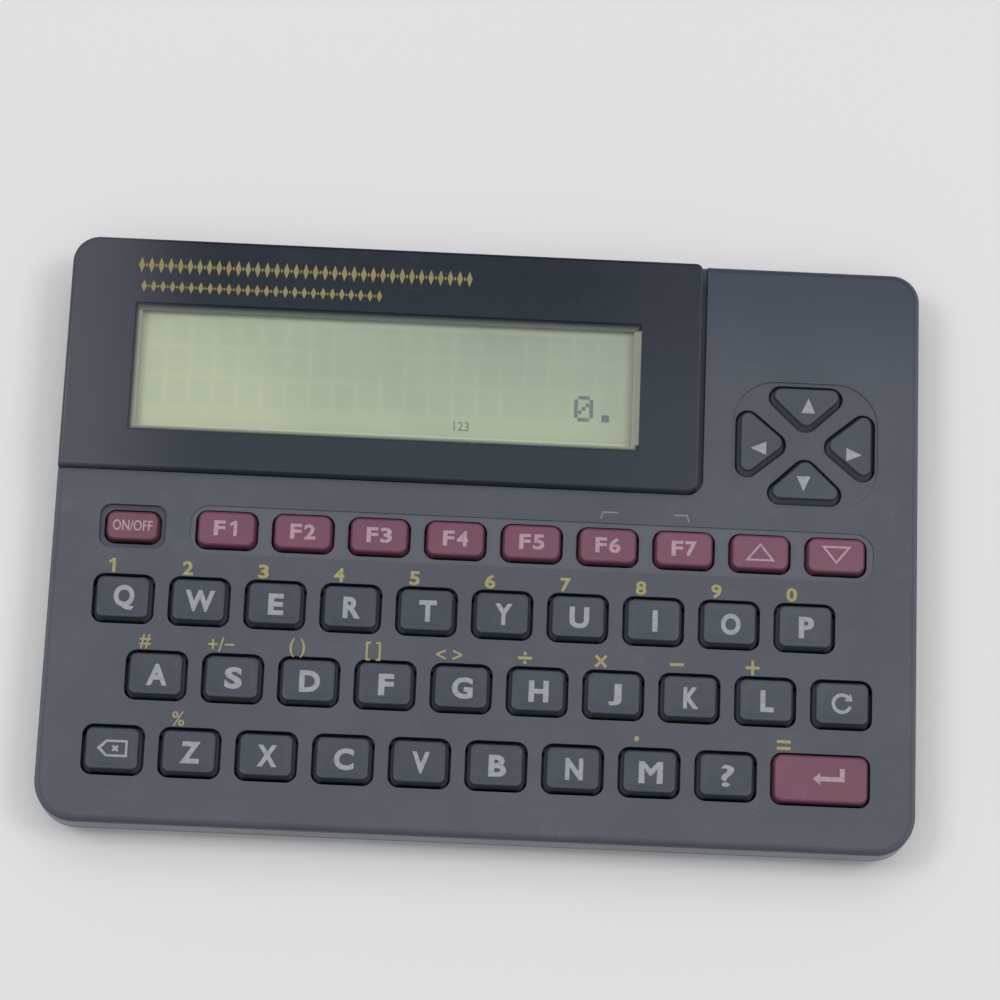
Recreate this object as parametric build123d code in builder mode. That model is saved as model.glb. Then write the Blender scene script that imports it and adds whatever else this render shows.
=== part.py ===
"""Pocket electronic dictionary: a flat two-shell case with a raised display panel at the back
left, a four-way cursor pad at the back right, a row of function keys and a letter keypad.

Each piece is one solid, or one group of like solids, written to its own file in parts/.
"""

import os

from build123d import *

os.makedirs("parts", exist_ok=True)

# Driving dimensions, in millimetres. The origin is the centre of the footprint at the feet's
# soles. +X runs to the right along the keypad, +Y to the display's edge, +Z up.

# Case
case_width = 138.0
case_depth = 96.0
back_corner = 4.5
front_corner = 6.5
top_edge_radius = 1.3
wall = 2.0
case_bottom = 0.6
floor_thickness = 1.8
seam_height = 6.4
keypad_top = 12.0
keypad_thickness = 1.8
bottom_draft_angle = 12.0
bottom_edge_radius = 1.0
seam_reveal = 0.3
# how far a rib or a boss reaches into the wall that carries it
root = 0.2

# Tongue of the bottom shell, which nests in a rebate inside the top shell's wall
tongue_height = 1.0
tongue_root = 0.5
tongue_outer_inset = 1.05
tongue_thickness = 0.9
rebate_inset = 0.9
rebate_height = 1.15

# Display panel
panel_top = 13.6
panel_seat = 10.4
panel_seat_thickness = 1.6
panel_right = 33.5
panel_front = 9.0
panel_inset = 0.15
panel_groove = 0.85
panel_front_gap = 0.1
panel_edge_radius = 0.7
panel_back_corner = 1.2
panel_front_corner = 1.8
peg_radius = 0.9
peg_fit = 0.1
peg_length = 2.0
peg_places = ((-64.0, 22.0), (30.0, 16.0), (30.0, 38.0), (-40.0, 44.6), (4.0, 44.6))

# Display aperture, window and glass
aperture_centre = (-17.25, 26.1)
aperture_width = 81.9
aperture_depth = 21.6
aperture_bevel = 1.1
aperture_bevel_angle = 45.0
window_margin = 2.5
window_thickness = 1.0
window_fit = 0.2
window_lip = 0.1
glass_width = 85.0
glass_front = 13.4
glass_back = 41.4
ledge_depth = 4.0
glass_sheet = 0.8
polariser_thickness = 0.2
polariser_margin = 0.6
glass_bottom = 8.7
frame_rim = 1.3
frame_fit = 0.2
frame_play = 0.05
frame_drop = 0.1
frame_shelf = 2.5
strip_depth = 2.2
strip_length = 82.0
strip_offset = 0.3

# Keypad
key_pitch = 12.0
row_pitch = 12.2
first_letter_x = -57.0
first_row_y = -12.2
row_stagger = 6.0
letter_opening = (9.85, 8.15)
enter_opening = (15.7, 8.4)
opening_corner = 1.8
key_gap = 0.2
cap_rim = 0.45
key_height = 1.25
key_bottom = 9.3
lug_thickness = 0.75
lug_reach = 0.55
enter_x = 53.85
query_place = 8
recall_place = 9

# Function row
function_count = 7
function_pitch = 12.14
function_y = -0.3
function_middle_x = 7.24
function_opening = (10.0, 6.5)
function_bevel = 0.5
channel_left = -47.2
channel_right = 61.9
channel_depth = 8.0
channel_corner = 3.0
recess_depth = 0.3
power_x = -56.3
power_opening = (9.1, 5.6)
power_well = (10.6, 7.2)
power_well_depth = 0.8
power_key_height = 0.55

# Cursor pad
pad_centre = (50.65, 18.05)
pad_width = 23.5
pad_height = 21.1
pad_corner = 7.0
cursor_tip_radius = 2.2
cursor_corner_radius = 2.0
# half the outer edge, rise to the sharp tip, distance of the outer edge from the pad's centre
cursor_wide = (9.0, 8.6, 10.0)
cursor_tall = (7.93, 9.5, 11.3)

# Board, key mat and what they carry
board_bottom = 5.6
board_thickness = 1.2
board_width = 123.0
board_front = -40.5
board_back = 42.0
board_play = 0.1
board_rib = 0.9
cross_rib_rows = (-31.0, -5.0)
# middle and length of each rib that runs from front to back
long_ribs = (((-48.0, -18.0), 26.0), ((48.0, -18.0), 26.0), ((-45.0, 24.0), 20.0), ((45.0, 24.0), 20.0))
# centre and size of each chip
chip_plan = (((-14.0, -18.0), (14.0, 14.0)), ((16.0, -18.0), (20.0, 9.0)), ((-36.0, -18.0), (12.0, 8.0)))
chip_height = 1.5
crystal_place = (2.0, -26.0)
crystal_size = (6.5, 2.2)
crystal_height = 1.6
mat_thickness = 0.7
mat_width = 122.8
mat_front = -40.3
mat_back = 4.0
mat_pad_left = 36.6
mat_pad_back = 30.0
mat_rib = 0.8
mat_play = 0.1
dome_base = (6.4, 4.6)
dome_flare = 24.0
dome_relief = 0.05
cursor_dome_setback = 3.0

# Screws and the posts they join
front_screws = ((-63.7, -42.7), (0.0, -43.0), (63.7, -42.7))
back_screws = ((-64.0, 38.0), (64.0, 38.0))
middle_screws = ((-22.0, 7.6), (34.0, 7.6))
boss_radius = 2.0
boss_bottom = 4.5
tower_radius = 2.9
tower_top = 4.4
head_recess_radius = 1.95
head_seat = 2.6
head_radius = 1.75
head_height = 1.2
shank_radius = 0.8
shank_top = 8.2
pilot_radius = 0.85
pilot_top = 8.5
clearance_radius = 1.1
drive_slot = (2.0, 0.5)
drive_slot_depth = 0.6
board_hole_radius = 2.3

# Battery bay and its cover
cell_radius = 10.0
cell_height = 2.5
cell_play = 0.4
cell_centres = ((-10.9, 33.2), (10.9, 33.2))
cell_bottom = 2.3
cover_half_width = 22.2
cover_front = 21.7
cover_gap = 0.2
cover_thickness = 1.6
skin_thickness = 0.8
rail_reach = 1.2
rail_play = 0.1
rail_roof = 1.0
bay_wall = 1.2
bay_wall_top = 5.3
grip_grooves = 4
grip_pitch = 1.6
grip_size = (14.0, 0.7)
grip_depth = 0.3
grip_start = 36.0

# Sprung leaf over each cell: a flat foot at each end, a flat middle that rests on the cell
leaf_width = 3.0
leaf_thickness = 0.2
leaf_offset = 1.5
leaf_middle = 3.0
leaf_knee = 6.0
leaf_end = 8.0
leaf_gap = 0.1

# Feet
foot_radius = 4.0
foot_thickness = 1.4
foot_fit = 0.1
foot_chamfer = 0.3
foot_places = ((-55.0, -37.5), (55.0, -37.5), (-55.0, 38.0), (55.0, 38.0))

# Values worked out from the ones above
floor_top = case_bottom + floor_thickness
keypad_bottom = keypad_top - keypad_thickness
panel_seat_bottom = panel_seat - panel_seat_thickness
board_top = board_bottom + board_thickness
mat_top = board_top + mat_thickness
letter_top = keypad_top + key_height
cover_top = case_bottom + cover_thickness
cell_top = cell_bottom + cell_height
screw_places = front_screws + back_screws + middle_screws
window_top = panel_top - aperture_bevel - window_lip
glass_top = glass_bottom + 2 * glass_sheet
glass_depth = glass_back - glass_front
glass_centre = (aperture_centre[0], (glass_front + glass_back) / 2)
frame_width = glass_width + 2 * frame_rim
frame_depth = glass_depth + 2 * frame_rim
window_pocket = (
    aperture_width + window_margin + 2 * window_fit,
    aperture_depth + window_margin + 2 * window_fit,
)
strip_centre = (glass_centre[0], glass_back - ledge_depth / 2 + strip_offset)


def case_outline(inset):
    """Footprint of the case, pulled in by inset: tighter corners at the back than in front."""
    with BuildSketch(mode=Mode.PRIVATE) as outline:
        Rectangle(case_width - 2 * inset, case_depth - 2 * inset)
        fillet(outline.vertices().group_by(Axis.Y)[0], front_corner - inset)
        fillet(outline.vertices().group_by(Axis.Y)[-1], back_corner - inset)
    return outline.sketch


def cursor_outline(form, inset):
    """Rounded triangle with its blunt tip towards the pad's centre, pulled in by inset."""
    half_edge, rise, reach = form
    with BuildSketch(mode=Mode.PRIVATE) as triangle:
        with BuildLine():
            Polyline((-half_edge, reach), (half_edge, reach), (0, reach - rise), close=True)
        make_face()
        fillet(triangle.vertices().sort_by(Axis.Y)[0], cursor_tip_radius)
        fillet(triangle.vertices().group_by(Axis.X)[0], cursor_corner_radius)
        fillet(triangle.vertices().group_by(Axis.X)[-1], cursor_corner_radius)
        if inset:
            offset(amount=-inset)
    return triangle.sketch


def level(height):
    """The plane parallel to the table at this height."""
    return Plane.XY.offset(height)


def save(part, label):
    """Names a finished piece and writes its file."""
    part.label = label
    export_step(part, f"parts/{label}.step")


# Places of the keys
letter_rows = ("qwertyuiop", "asdfghjkl", "zxcvbnm")
letter_keys = {}
for row, letters in enumerate(letter_rows):
    row_y = first_row_y - row * row_pitch
    # the bottom row's first place belongs to the clear key
    row_x = first_letter_x + (row_stagger if row == 1 else 0) + (key_pitch if row == 2 else 0)
    for column, letter in enumerate(letters):
        letter_keys[f"letter_key_{letter}"] = (row_x + column * key_pitch, row_y)
bottom_row_y = first_row_y - 2 * row_pitch
recall_x = first_letter_x + row_stagger + recall_place * key_pitch
letter_keys["recall_key"] = (recall_x, first_row_y - row_pitch)
letter_keys["clear_key"] = (first_letter_x, bottom_row_y)
letter_keys["query_key"] = (first_letter_x + query_place * key_pitch, bottom_row_y)
enter_centre = (enter_x, bottom_row_y)
power_centre = (power_x, function_y)

function_names = [f"function_key_{number}" for number in range(1, function_count + 1)]
function_names += ["scroll_up_key", "scroll_down_key"]
function_keys = {}
for place, name in enumerate(function_names):
    steps_from_middle = place - len(function_names) // 2
    function_keys[name] = (function_middle_x + steps_from_middle * function_pitch, function_y)

cursor_keys = {
    "cursor_up_key": ((1, 0, 0), cursor_wide),
    "cursor_down_key": ((-1, 0, 0), cursor_wide),
    "cursor_left_key": ((0, 1, 0), cursor_tall),
    "cursor_right_key": ((0, -1, 0), cursor_tall),
}


def cursor_plane(direction, height):
    """Level plane at the pad's centre, turned so that its own Y points at the key's outer edge."""
    return Plane(origin=(*pad_centre, height), x_dir=direction, z_dir=(0, 0, 1))


# Top shell: walls, keypad plate, seat for the display panel, screw posts and ribs
seat_width = panel_right + panel_groove + case_width / 2
seat_depth = case_depth / 2 - panel_front + panel_front_gap
seat_centre = (
    panel_right + panel_groove - seat_width / 2,
    case_depth / 2 - seat_depth / 2,
)
seat_corner = panel_front_corner + panel_groove
with BuildPart() as top_case:
    with BuildSketch(level(seam_height)):
        add(case_outline(0))
    extrude(amount=keypad_top - seam_height)
    fillet(top_case.faces().sort_by(Axis.Z)[-1].edges(), top_edge_radius)
    with BuildSketch(level(panel_seat)):
        with Locations(seat_centre):
            Rectangle(seat_width, seat_depth)
        fillet(vertices().group_by(Axis.X)[-1].sort_by(Axis.Y)[0], seat_corner)
    extrude(amount=keypad_top, mode=Mode.SUBTRACT)
    # the inside, shallower under the display panel
    with BuildSketch(level(seam_height)):
        add(case_outline(wall))
    extrude(amount=panel_seat_bottom - seam_height, mode=Mode.SUBTRACT)
    with BuildSketch(level(panel_seat_bottom)):
        add(case_outline(wall))
        with Locations(seat_centre):
            Rectangle(seat_width + 2 * wall, seat_depth + 2 * wall, mode=Mode.SUBTRACT)
    extrude(amount=keypad_bottom - panel_seat_bottom, mode=Mode.SUBTRACT)
    with BuildSketch(level(seam_height)):
        add(case_outline(rebate_inset))
    extrude(amount=rebate_height, mode=Mode.SUBTRACT)
    with BuildSketch(level(panel_seat_bottom)):
        with Locations(glass_centre):
            Rectangle(frame_width + 2 * frame_fit, frame_depth + 2 * frame_fit)
    extrude(amount=panel_seat_thickness, mode=Mode.SUBTRACT)
    # shallow channel round the function keys, dished cursor pad and the power key's well
    with BuildSketch(level(keypad_top)):
        with Locations(((channel_left + channel_right) / 2, function_y)):
            RectangleRounded(channel_right - channel_left, channel_depth, channel_corner)
        with Locations(pad_centre):
            RectangleRounded(pad_width, pad_height, pad_corner)
    extrude(amount=-recess_depth, mode=Mode.SUBTRACT)
    with BuildSketch(level(keypad_top)):
        with Locations(power_centre):
            RectangleRounded(*power_well, opening_corner)
    extrude(amount=-power_well_depth, mode=Mode.SUBTRACT)
    # key openings
    with BuildSketch(level(keypad_top)):
        with Locations(*letter_keys.values()):
            RectangleRounded(*letter_opening, opening_corner)
        with Locations(*function_keys.values()):
            RectangleRounded(*function_opening, opening_corner)
        with Locations(enter_centre):
            RectangleRounded(*enter_opening, opening_corner)
        with Locations(power_centre):
            RectangleRounded(*power_opening, opening_corner)
    extrude(amount=-keypad_thickness, mode=Mode.SUBTRACT)
    for direction, form in cursor_keys.values():
        with BuildSketch(cursor_plane(direction, keypad_top)):
            add(cursor_outline(form, 0))
        extrude(amount=-keypad_thickness, mode=Mode.SUBTRACT)
    # ribs between the rows, which hold the key mat down
    with BuildSketch(level(keypad_bottom)):
        for row in range(len(letter_rows)):
            with Locations((0, (function_y + first_row_y) / 2 - row * row_pitch)):
                Rectangle(case_width - 2 * wall + root, mat_rib)
    extrude(amount=mat_top + mat_play - keypad_bottom)
    with BuildSketch(level(boss_bottom)):
        with Locations(*screw_places):
            Circle(boss_radius)
    extrude(amount=panel_seat_bottom + root - boss_bottom)
    with BuildSketch(level(panel_seat_bottom)):
        with Locations(*front_screws, *middle_screws, back_screws[-1]):
            Circle(boss_radius)
    extrude(amount=keypad_bottom + root - panel_seat_bottom)
    with BuildSketch(level(boss_bottom)):
        with Locations(*screw_places):
            Circle(pilot_radius)
    extrude(amount=pilot_top - boss_bottom, mode=Mode.SUBTRACT)
    with BuildSketch(level(panel_seat)):
        with Locations(*peg_places):
            Circle(peg_radius + peg_fit)
    extrude(amount=-panel_seat_thickness, mode=Mode.SUBTRACT)
save(top_case.part, "top_case")


# Bottom shell: a shallow drafted tray with a tongue, screw towers, board ribs and battery bay
bay_front = cover_front - cover_gap
slot_half_width = cover_half_width + cover_gap
rail_half_width = cover_half_width + rail_reach + cover_gap
rail_top = cover_top + 2 * rail_play
back_wall_y = case_depth / 2 - wall
with BuildPart() as case_form:
    with BuildSketch(level(seam_height - seam_reveal)):
        add(case_outline(0))
    extrude(amount=case_bottom + seam_reveal - seam_height, taper=bottom_draft_angle)
    fillet(case_form.faces().sort_by(Axis.Z)[0].edges(), bottom_edge_radius)

with BuildPart() as bottom_case:
    add(case_form.part)
    # set back a little at the top, which leaves a fine groove round the seam
    with BuildSketch(level(seam_height - seam_reveal)):
        add(case_outline(seam_reveal))
    extrude(amount=seam_reveal)
    with BuildSketch(level(seam_height)):
        add(case_outline(wall))
    extrude(amount=floor_top - seam_height, taper=bottom_draft_angle, mode=Mode.SUBTRACT)
    with BuildSketch(level(seam_height - tongue_root)):
        add(case_outline(tongue_outer_inset))
        add(case_outline(tongue_outer_inset + tongue_thickness), mode=Mode.SUBTRACT)
    extrude(amount=tongue_height + tongue_root)
    # ribs that carry the board
    with BuildSketch(level(floor_top - root)):
        for rib_y in cross_rib_rows:
            with Locations((0, rib_y)):
                Rectangle(board_width, board_rib)
        for rib_centre, rib_length in long_ribs:
            with Locations(rib_centre):
                Rectangle(board_rib, rib_length)
    extrude(amount=board_bottom - board_play - floor_top + root)
    with BuildSketch(level(floor_top - root)):
        with Locations(*screw_places):
            Circle(tower_radius)
    extrude(amount=tower_top - floor_top + root)
    # battery bay: walls that overhang the cover's rails
    with BuildSketch(level(rail_top)):
        with Locations((0, (bay_front + back_wall_y) / 2)):
            Rectangle(2 * (rail_half_width + bay_wall), back_wall_y - bay_front + 2 * bay_wall)
            Rectangle(2 * (slot_half_width - rail_roof), back_wall_y - bay_front, mode=Mode.SUBTRACT)
    extrude(amount=bay_wall_top - rail_top)
    with BuildSketch(level(rail_top)):
        with Locations((0, cell_centres[0][1] + cell_radius + cell_play + bay_wall / 2)):
            Rectangle(2 * rail_half_width, bay_wall)
    extrude(amount=bay_wall_top - rail_top)
    # way for the cover's skin and rails, out through the back wall
    with BuildSketch(level(case_bottom)):
        with Locations((0, bay_front)):
            Rectangle(2 * slot_half_width, case_depth, align=(Align.CENTER, Align.MIN))
    extrude(amount=skin_thickness - rail_play, mode=Mode.SUBTRACT)
    with BuildSketch(level(case_bottom + skin_thickness - rail_play)):
        with Locations((0, bay_front)):
            Rectangle(2 * rail_half_width, case_depth, align=(Align.CENTER, Align.MIN))
    extrude(amount=rail_top - case_bottom - skin_thickness + rail_play, mode=Mode.SUBTRACT)
    # screw recesses and the seats for the feet
    with BuildSketch(level(case_bottom)):
        with Locations(*screw_places):
            Circle(head_recess_radius)
    extrude(amount=head_seat - case_bottom, mode=Mode.SUBTRACT)
    with BuildSketch(level(head_seat)):
        with Locations(*screw_places):
            Circle(clearance_radius)
    extrude(amount=tower_top - head_seat, mode=Mode.SUBTRACT)
    with BuildSketch(level(case_bottom)):
        with Locations(*foot_places):
            Circle(foot_radius + foot_fit)
    extrude(amount=foot_thickness - case_bottom, mode=Mode.SUBTRACT)
save(bottom_case.part, "bottom_case")


# Battery cover: the bay's share of the case's outer form, with a rail along each side
with BuildPart() as battery_cover:
    add(case_form.part)
    with BuildSketch(level(case_bottom)):
        with Locations((0, cover_front)):
            Rectangle(2 * cover_half_width, case_depth, align=(Align.CENTER, Align.MIN))
    extrude(amount=cover_thickness, mode=Mode.INTERSECT)
    with BuildSketch(level(case_bottom + skin_thickness)):
        with Locations((0, cover_front)):
            Rectangle(
                2 * (cover_half_width + rail_reach),
                back_wall_y - cover_front,
                align=(Align.CENTER, Align.MIN),
            )
    extrude(amount=cover_thickness - skin_thickness)
    with BuildSketch(level(case_bottom)):
        for groove in range(grip_grooves):
            with Locations((0, grip_start + groove * grip_pitch)):
                SlotOverall(*grip_size)
    extrude(amount=grip_depth, mode=Mode.SUBTRACT)
save(battery_cover.part, "battery_cover")


# Display panel: a glossy plate with a bevelled aperture, a pocket for the window and stake pegs
with BuildPart() as display_bezel:
    with BuildSketch(level(panel_seat)):
        add(case_outline(panel_inset))
        with Locations((panel_right, panel_front)):
            Rectangle(case_width, case_depth, align=(Align.MAX, Align.MIN), mode=Mode.INTERSECT)
        fillet(vertices().group_by(Axis.X)[-1].sort_by(Axis.Y)[-1], panel_back_corner)
        fillet(vertices().group_by(Axis.X)[-1].sort_by(Axis.Y)[0], panel_front_corner)
    extrude(amount=panel_top - panel_seat)
    fillet(display_bezel.faces().sort_by(Axis.Z)[-1].edges(), panel_edge_radius)
    with BuildSketch(level(panel_top)):
        with Locations(aperture_centre):
            Rectangle(aperture_width, aperture_depth)
    extrude(amount=-aperture_bevel, taper=aperture_bevel_angle, mode=Mode.SUBTRACT)
    with BuildSketch(level(panel_seat)):
        with Locations(aperture_centre):
            Rectangle(aperture_width - 2 * aperture_bevel, aperture_depth - 2 * aperture_bevel)
    extrude(amount=panel_top - panel_seat, mode=Mode.SUBTRACT)
    with BuildSketch(level(panel_seat)):
        with Locations(aperture_centre):
            Rectangle(*window_pocket)
    extrude(amount=window_top - panel_seat, mode=Mode.SUBTRACT)
    with BuildSketch(level(panel_seat)):
        with Locations(*peg_places):
            Circle(peg_radius)
    extrude(amount=-peg_length)
save(display_bezel.part, "display_bezel")


# Clear window, glued into the panel's pocket from below
with BuildPart() as display_window:
    with BuildSketch(level(window_top)):
        with Locations(aperture_centre):
            Rectangle(aperture_width + window_margin, aperture_depth + window_margin)
    extrude(amount=-window_thickness)
save(display_window.part, "display_window")


# Liquid crystal panel: a back sheet, a deeper front sheet with the contact ledge, a polariser
with BuildPart() as lcd_panel:
    with BuildSketch(level(glass_bottom)):
        with Locations((glass_centre[0], glass_front)):
            Rectangle(glass_width, glass_depth - ledge_depth, align=(Align.CENTER, Align.MIN))
    extrude(amount=glass_sheet)
    with BuildSketch(level(glass_bottom + glass_sheet)):
        with Locations(glass_centre):
            Rectangle(glass_width, glass_depth)
    extrude(amount=glass_sheet)
    with BuildSketch(level(glass_top)):
        with Locations(aperture_centre):
            Rectangle(aperture_width + polariser_margin, aperture_depth + polariser_margin)
    extrude(amount=polariser_thickness)
save(lcd_panel.part, "lcd_panel")


# Frame that holds the glass over the board
with BuildPart() as lcd_frame:
    with BuildSketch(level(board_top + frame_play)):
        with Locations(glass_centre):
            Rectangle(frame_width, frame_depth)
    extrude(amount=glass_top - frame_drop - board_top - frame_play)
    with BuildSketch(level(glass_bottom + glass_sheet - frame_play)):
        with Locations(glass_centre):
            Rectangle(glass_width + 2 * frame_fit, glass_depth + 2 * frame_fit)
    extrude(amount=2 * glass_sheet, mode=Mode.SUBTRACT)
    with BuildSketch(level(glass_bottom - frame_play)):
        with Locations((glass_centre[0], glass_front - frame_fit)):
            Rectangle(
                glass_width + 2 * frame_fit,
                glass_depth - ledge_depth + 2 * frame_fit,
                align=(Align.CENTER, Align.MIN),
            )
    extrude(amount=2 * glass_sheet, mode=Mode.SUBTRACT)
    with BuildSketch(level(board_top)):
        with Locations((glass_centre[0], glass_front + frame_shelf)):
            Rectangle(
                glass_width - 2 * frame_shelf,
                glass_depth - ledge_depth - 2 * frame_shelf,
                align=(Align.CENTER, Align.MIN),
            )
        with Locations(strip_centre):
            Rectangle(strip_length + 2 * frame_fit, strip_depth + 2 * frame_fit)
    extrude(amount=2 * glass_depth, mode=Mode.SUBTRACT)
save(lcd_frame.part, "lcd_frame")


# Rubber connector strip between the glass ledge and the board
with BuildPart() as lcd_connector:
    with BuildSketch(level(board_top)):
        with Locations(strip_centre):
            Rectangle(strip_length, strip_depth)
    extrude(amount=glass_bottom + glass_sheet - board_top)
save(lcd_connector.part, "lcd_connector")


# Main board
board_centre_y = (board_front + board_back) / 2
with BuildPart() as main_board:
    with BuildSketch(level(board_bottom)):
        with Locations((0, board_centre_y)):
            Rectangle(board_width, board_back - board_front)
        with Locations(*middle_screws):
            Circle(board_hole_radius, mode=Mode.SUBTRACT)
    extrude(amount=board_thickness)
save(main_board.part, "main_board")


# Chips on the board's underside, and the clock crystal
with BuildPart() as chips:
    for chip_centre, chip_size in chip_plan:
        with BuildSketch(level(board_bottom)):
            with Locations(chip_centre):
                Rectangle(*chip_size)
        extrude(amount=-chip_height)
    with BuildSketch(level(board_bottom)):
        with Locations(crystal_place):
            SlotOverall(*crystal_size)
    extrude(amount=-crystal_height)
save(chips.part, "chips")


# Silicone key mat: one sheet with a collapsing dome under every key
key_places = [*letter_keys.values(), *function_keys.values(), enter_centre, power_centre]
dome_planes = [Plane((x, y, mat_top)) for x, y in key_places]
for direction, form in cursor_keys.values():
    pad_plane = cursor_plane(direction, mat_top)
    under_key = pad_plane.from_local_coords((0, form[2] - cursor_dome_setback, 0))
    dome_planes.append(Plane(under_key, x_dir=pad_plane.x_dir, z_dir=pad_plane.z_dir))
with BuildPart() as key_mat:
    with BuildSketch(level(board_top)):
        with Locations((0, (mat_front + mat_back) / 2)):
            Rectangle(mat_width, mat_back - mat_front)
        with Locations((mat_pad_left, 0)):
            Rectangle(mat_width / 2 - mat_pad_left, mat_pad_back, align=(Align.MIN, Align.MIN))
    extrude(amount=mat_thickness)
    with BuildSketch(*dome_planes):
        Rectangle(*dome_base)
    dome_height = key_bottom - dome_relief - mat_top
    extrude(amount=dome_height, taper=dome_flare)
save(key_mat.part, "key_mat")


# Coin cells, a pair
with BuildPart() as coin_cells:
    with BuildSketch(level(cell_bottom)):
        with Locations(*cell_centres):
            Circle(cell_radius)
    extrude(amount=cell_height)
save(coin_cells.part, "coin_cells")


# Battery contacts: one sprung leaf over each cell
leaf_high = board_bottom - leaf_gap
leaf_low = cell_top + leaf_gap
with BuildPart() as battery_contacts:
    for x, y in cell_centres:
        with BuildSketch(Plane((x, y + leaf_offset, 0), x_dir=(1, 0, 0), z_dir=(0, -1, 0))):
            with BuildLine():
                Polyline(
                    (-leaf_end, leaf_high),
                    (-leaf_knee, leaf_high),
                    (-leaf_middle, leaf_low),
                    (leaf_middle, leaf_low),
                    (leaf_knee, leaf_high),
                    (leaf_end, leaf_high),
                )
            trace(line_width=leaf_thickness)
        extrude(amount=leaf_width)
save(battery_contacts.part, "battery_contacts")


# Case screws, alike, each with a round head and a cross drive
with BuildPart() as screws:
    with BuildSketch(level(head_seat)):
        with Locations(*screw_places):
            Circle(head_radius)
    extrude(amount=-head_height)
    with BuildSketch(level(head_seat)):
        with Locations(*screw_places):
            Circle(shank_radius)
    extrude(amount=shank_top - head_seat)
    with BuildSketch(level(head_seat - head_height)):
        with Locations(*screw_places):
            Rectangle(*drive_slot)
            Rectangle(*reversed(drive_slot))
    extrude(amount=drive_slot_depth, mode=Mode.SUBTRACT)
save(screws.part, "screws")


# Rubber feet, stuck in shallow seats
with BuildPart() as rubber_feet:
    with BuildSketch():
        with Locations(*foot_places):
            Circle(foot_radius)
    extrude(amount=foot_thickness)
    chamfer(rubber_feet.faces().filter_by(Plane.XY).group_by(Axis.Z)[0].edges(), foot_chamfer)
save(rubber_feet.part, "rubber_feet")


# Keys. Each is a cap with a bevelled rim, held in by lugs that are wider than the cap's opening.


def moulded_key(centre, opening, cap_top, rim=cap_rim):
    """Rectangular key for the opening, its top edge bevelled, with a lug on the left and right."""
    x, y = centre
    skirt = [side - 2 * key_gap for side in opening]
    with BuildPart() as key:
        with BuildSketch(Plane((x, y, key_bottom))):
            RectangleRounded(*skirt, opening_corner - key_gap)
        extrude(amount=cap_top - key_bottom)
        chamfer(key.faces().sort_by(Axis.Z)[-1].edges(), rim)
        with BuildSketch(Plane((x, y, key_bottom))):
            Rectangle(opening[0] + 2 * lug_reach, opening[1] - 2 * opening_corner)
        extrude(amount=lug_thickness)
    return key.part


def cursor_key(direction, form):
    """Three-cornered key of the cursor pad, its lug plate the same shape and a little larger."""
    with BuildPart() as key:
        with BuildSketch(cursor_plane(direction, key_bottom)):
            add(cursor_outline(form, key_gap))
        extrude(amount=letter_top - key_bottom)
        chamfer(key.faces().sort_by(Axis.Z)[-1].edges(), cap_rim)
        with BuildSketch(cursor_plane(direction, key_bottom)):
            add(cursor_outline(form, -lug_reach))
        extrude(amount=lug_thickness)
    return key.part


for name, centre in letter_keys.items():
    save(moulded_key(centre, letter_opening, letter_top), name)
for name, centre in function_keys.items():
    save(moulded_key(centre, function_opening, letter_top, function_bevel), name)
save(moulded_key(enter_centre, enter_opening, letter_top), "enter_key")
power_top = keypad_top + power_key_height
save(moulded_key(power_centre, power_opening, power_top, function_bevel), "power_key")
for name, (direction, form) in cursor_keys.items():
    save(cursor_key(direction, form), name)
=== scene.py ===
"""Looks of the pocket electronic dictionary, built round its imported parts.

Lengths in the classes below are in millimetres, in the frame of the parts, and are turned into
metres where a mesh is made. Colours are written as they should show, in 8-bit steps.
"""

import logging
import math
from dataclasses import dataclass, field
from enum import Enum
from typing import Any, Iterable, Sequence

import bmesh
import bpy
from mathutils import Matrix, Vector


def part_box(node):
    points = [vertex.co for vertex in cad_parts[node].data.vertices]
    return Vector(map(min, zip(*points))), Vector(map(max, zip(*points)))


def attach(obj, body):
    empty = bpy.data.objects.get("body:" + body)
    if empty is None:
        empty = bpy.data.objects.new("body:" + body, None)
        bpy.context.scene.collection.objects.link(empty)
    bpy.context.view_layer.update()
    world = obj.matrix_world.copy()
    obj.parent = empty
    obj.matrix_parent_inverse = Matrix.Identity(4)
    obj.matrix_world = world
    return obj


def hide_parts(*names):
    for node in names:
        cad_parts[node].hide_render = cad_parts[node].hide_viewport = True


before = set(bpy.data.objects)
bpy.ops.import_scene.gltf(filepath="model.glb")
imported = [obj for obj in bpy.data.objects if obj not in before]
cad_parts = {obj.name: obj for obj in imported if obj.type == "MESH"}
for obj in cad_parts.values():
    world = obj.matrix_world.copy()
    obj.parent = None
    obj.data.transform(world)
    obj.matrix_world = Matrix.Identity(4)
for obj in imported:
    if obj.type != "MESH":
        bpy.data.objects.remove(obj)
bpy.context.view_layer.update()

log = logging.getLogger("dictionary")

MM = 0.001

Point = tuple[float, float]
Colour = tuple[int, int, int]
Socket = bpy.types.NodeSocket


class Slot(str, Enum):
    """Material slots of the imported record."""

    CASE = "case_plastic"
    PANEL = "panel_plastic"
    WINDOW = "clear_window"
    GLASS = "lcd_glass"
    FRAME = "frame_plastic"
    SILICONE = "silicone"
    BOARD = "circuit_board"
    CHIP = "chip_resin"
    CELL = "cell_steel"
    CONTACT = "contact_metal"
    SCREW = "screw_steel"
    FOOT = "foot_rubber"
    GREY_KEY = "key_grey"
    MAROON_KEY = "key_maroon"


class Turn(float, Enum):
    """Quarter turns of a cursor key about the pad's centre, in degrees."""

    UP = 0.0
    LEFT = 90.0
    DOWN = 180.0
    RIGHT = 270.0


class Symbol(Enum):
    """Marks that stand on keys in the place of words."""

    TRIANGLE_UP = "triangle_up"
    TRIANGLE_DOWN = "triangle_down"
    RETURN = "return"
    RUB_OUT = "rub_out"
    REPEAT = "repeat"


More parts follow.
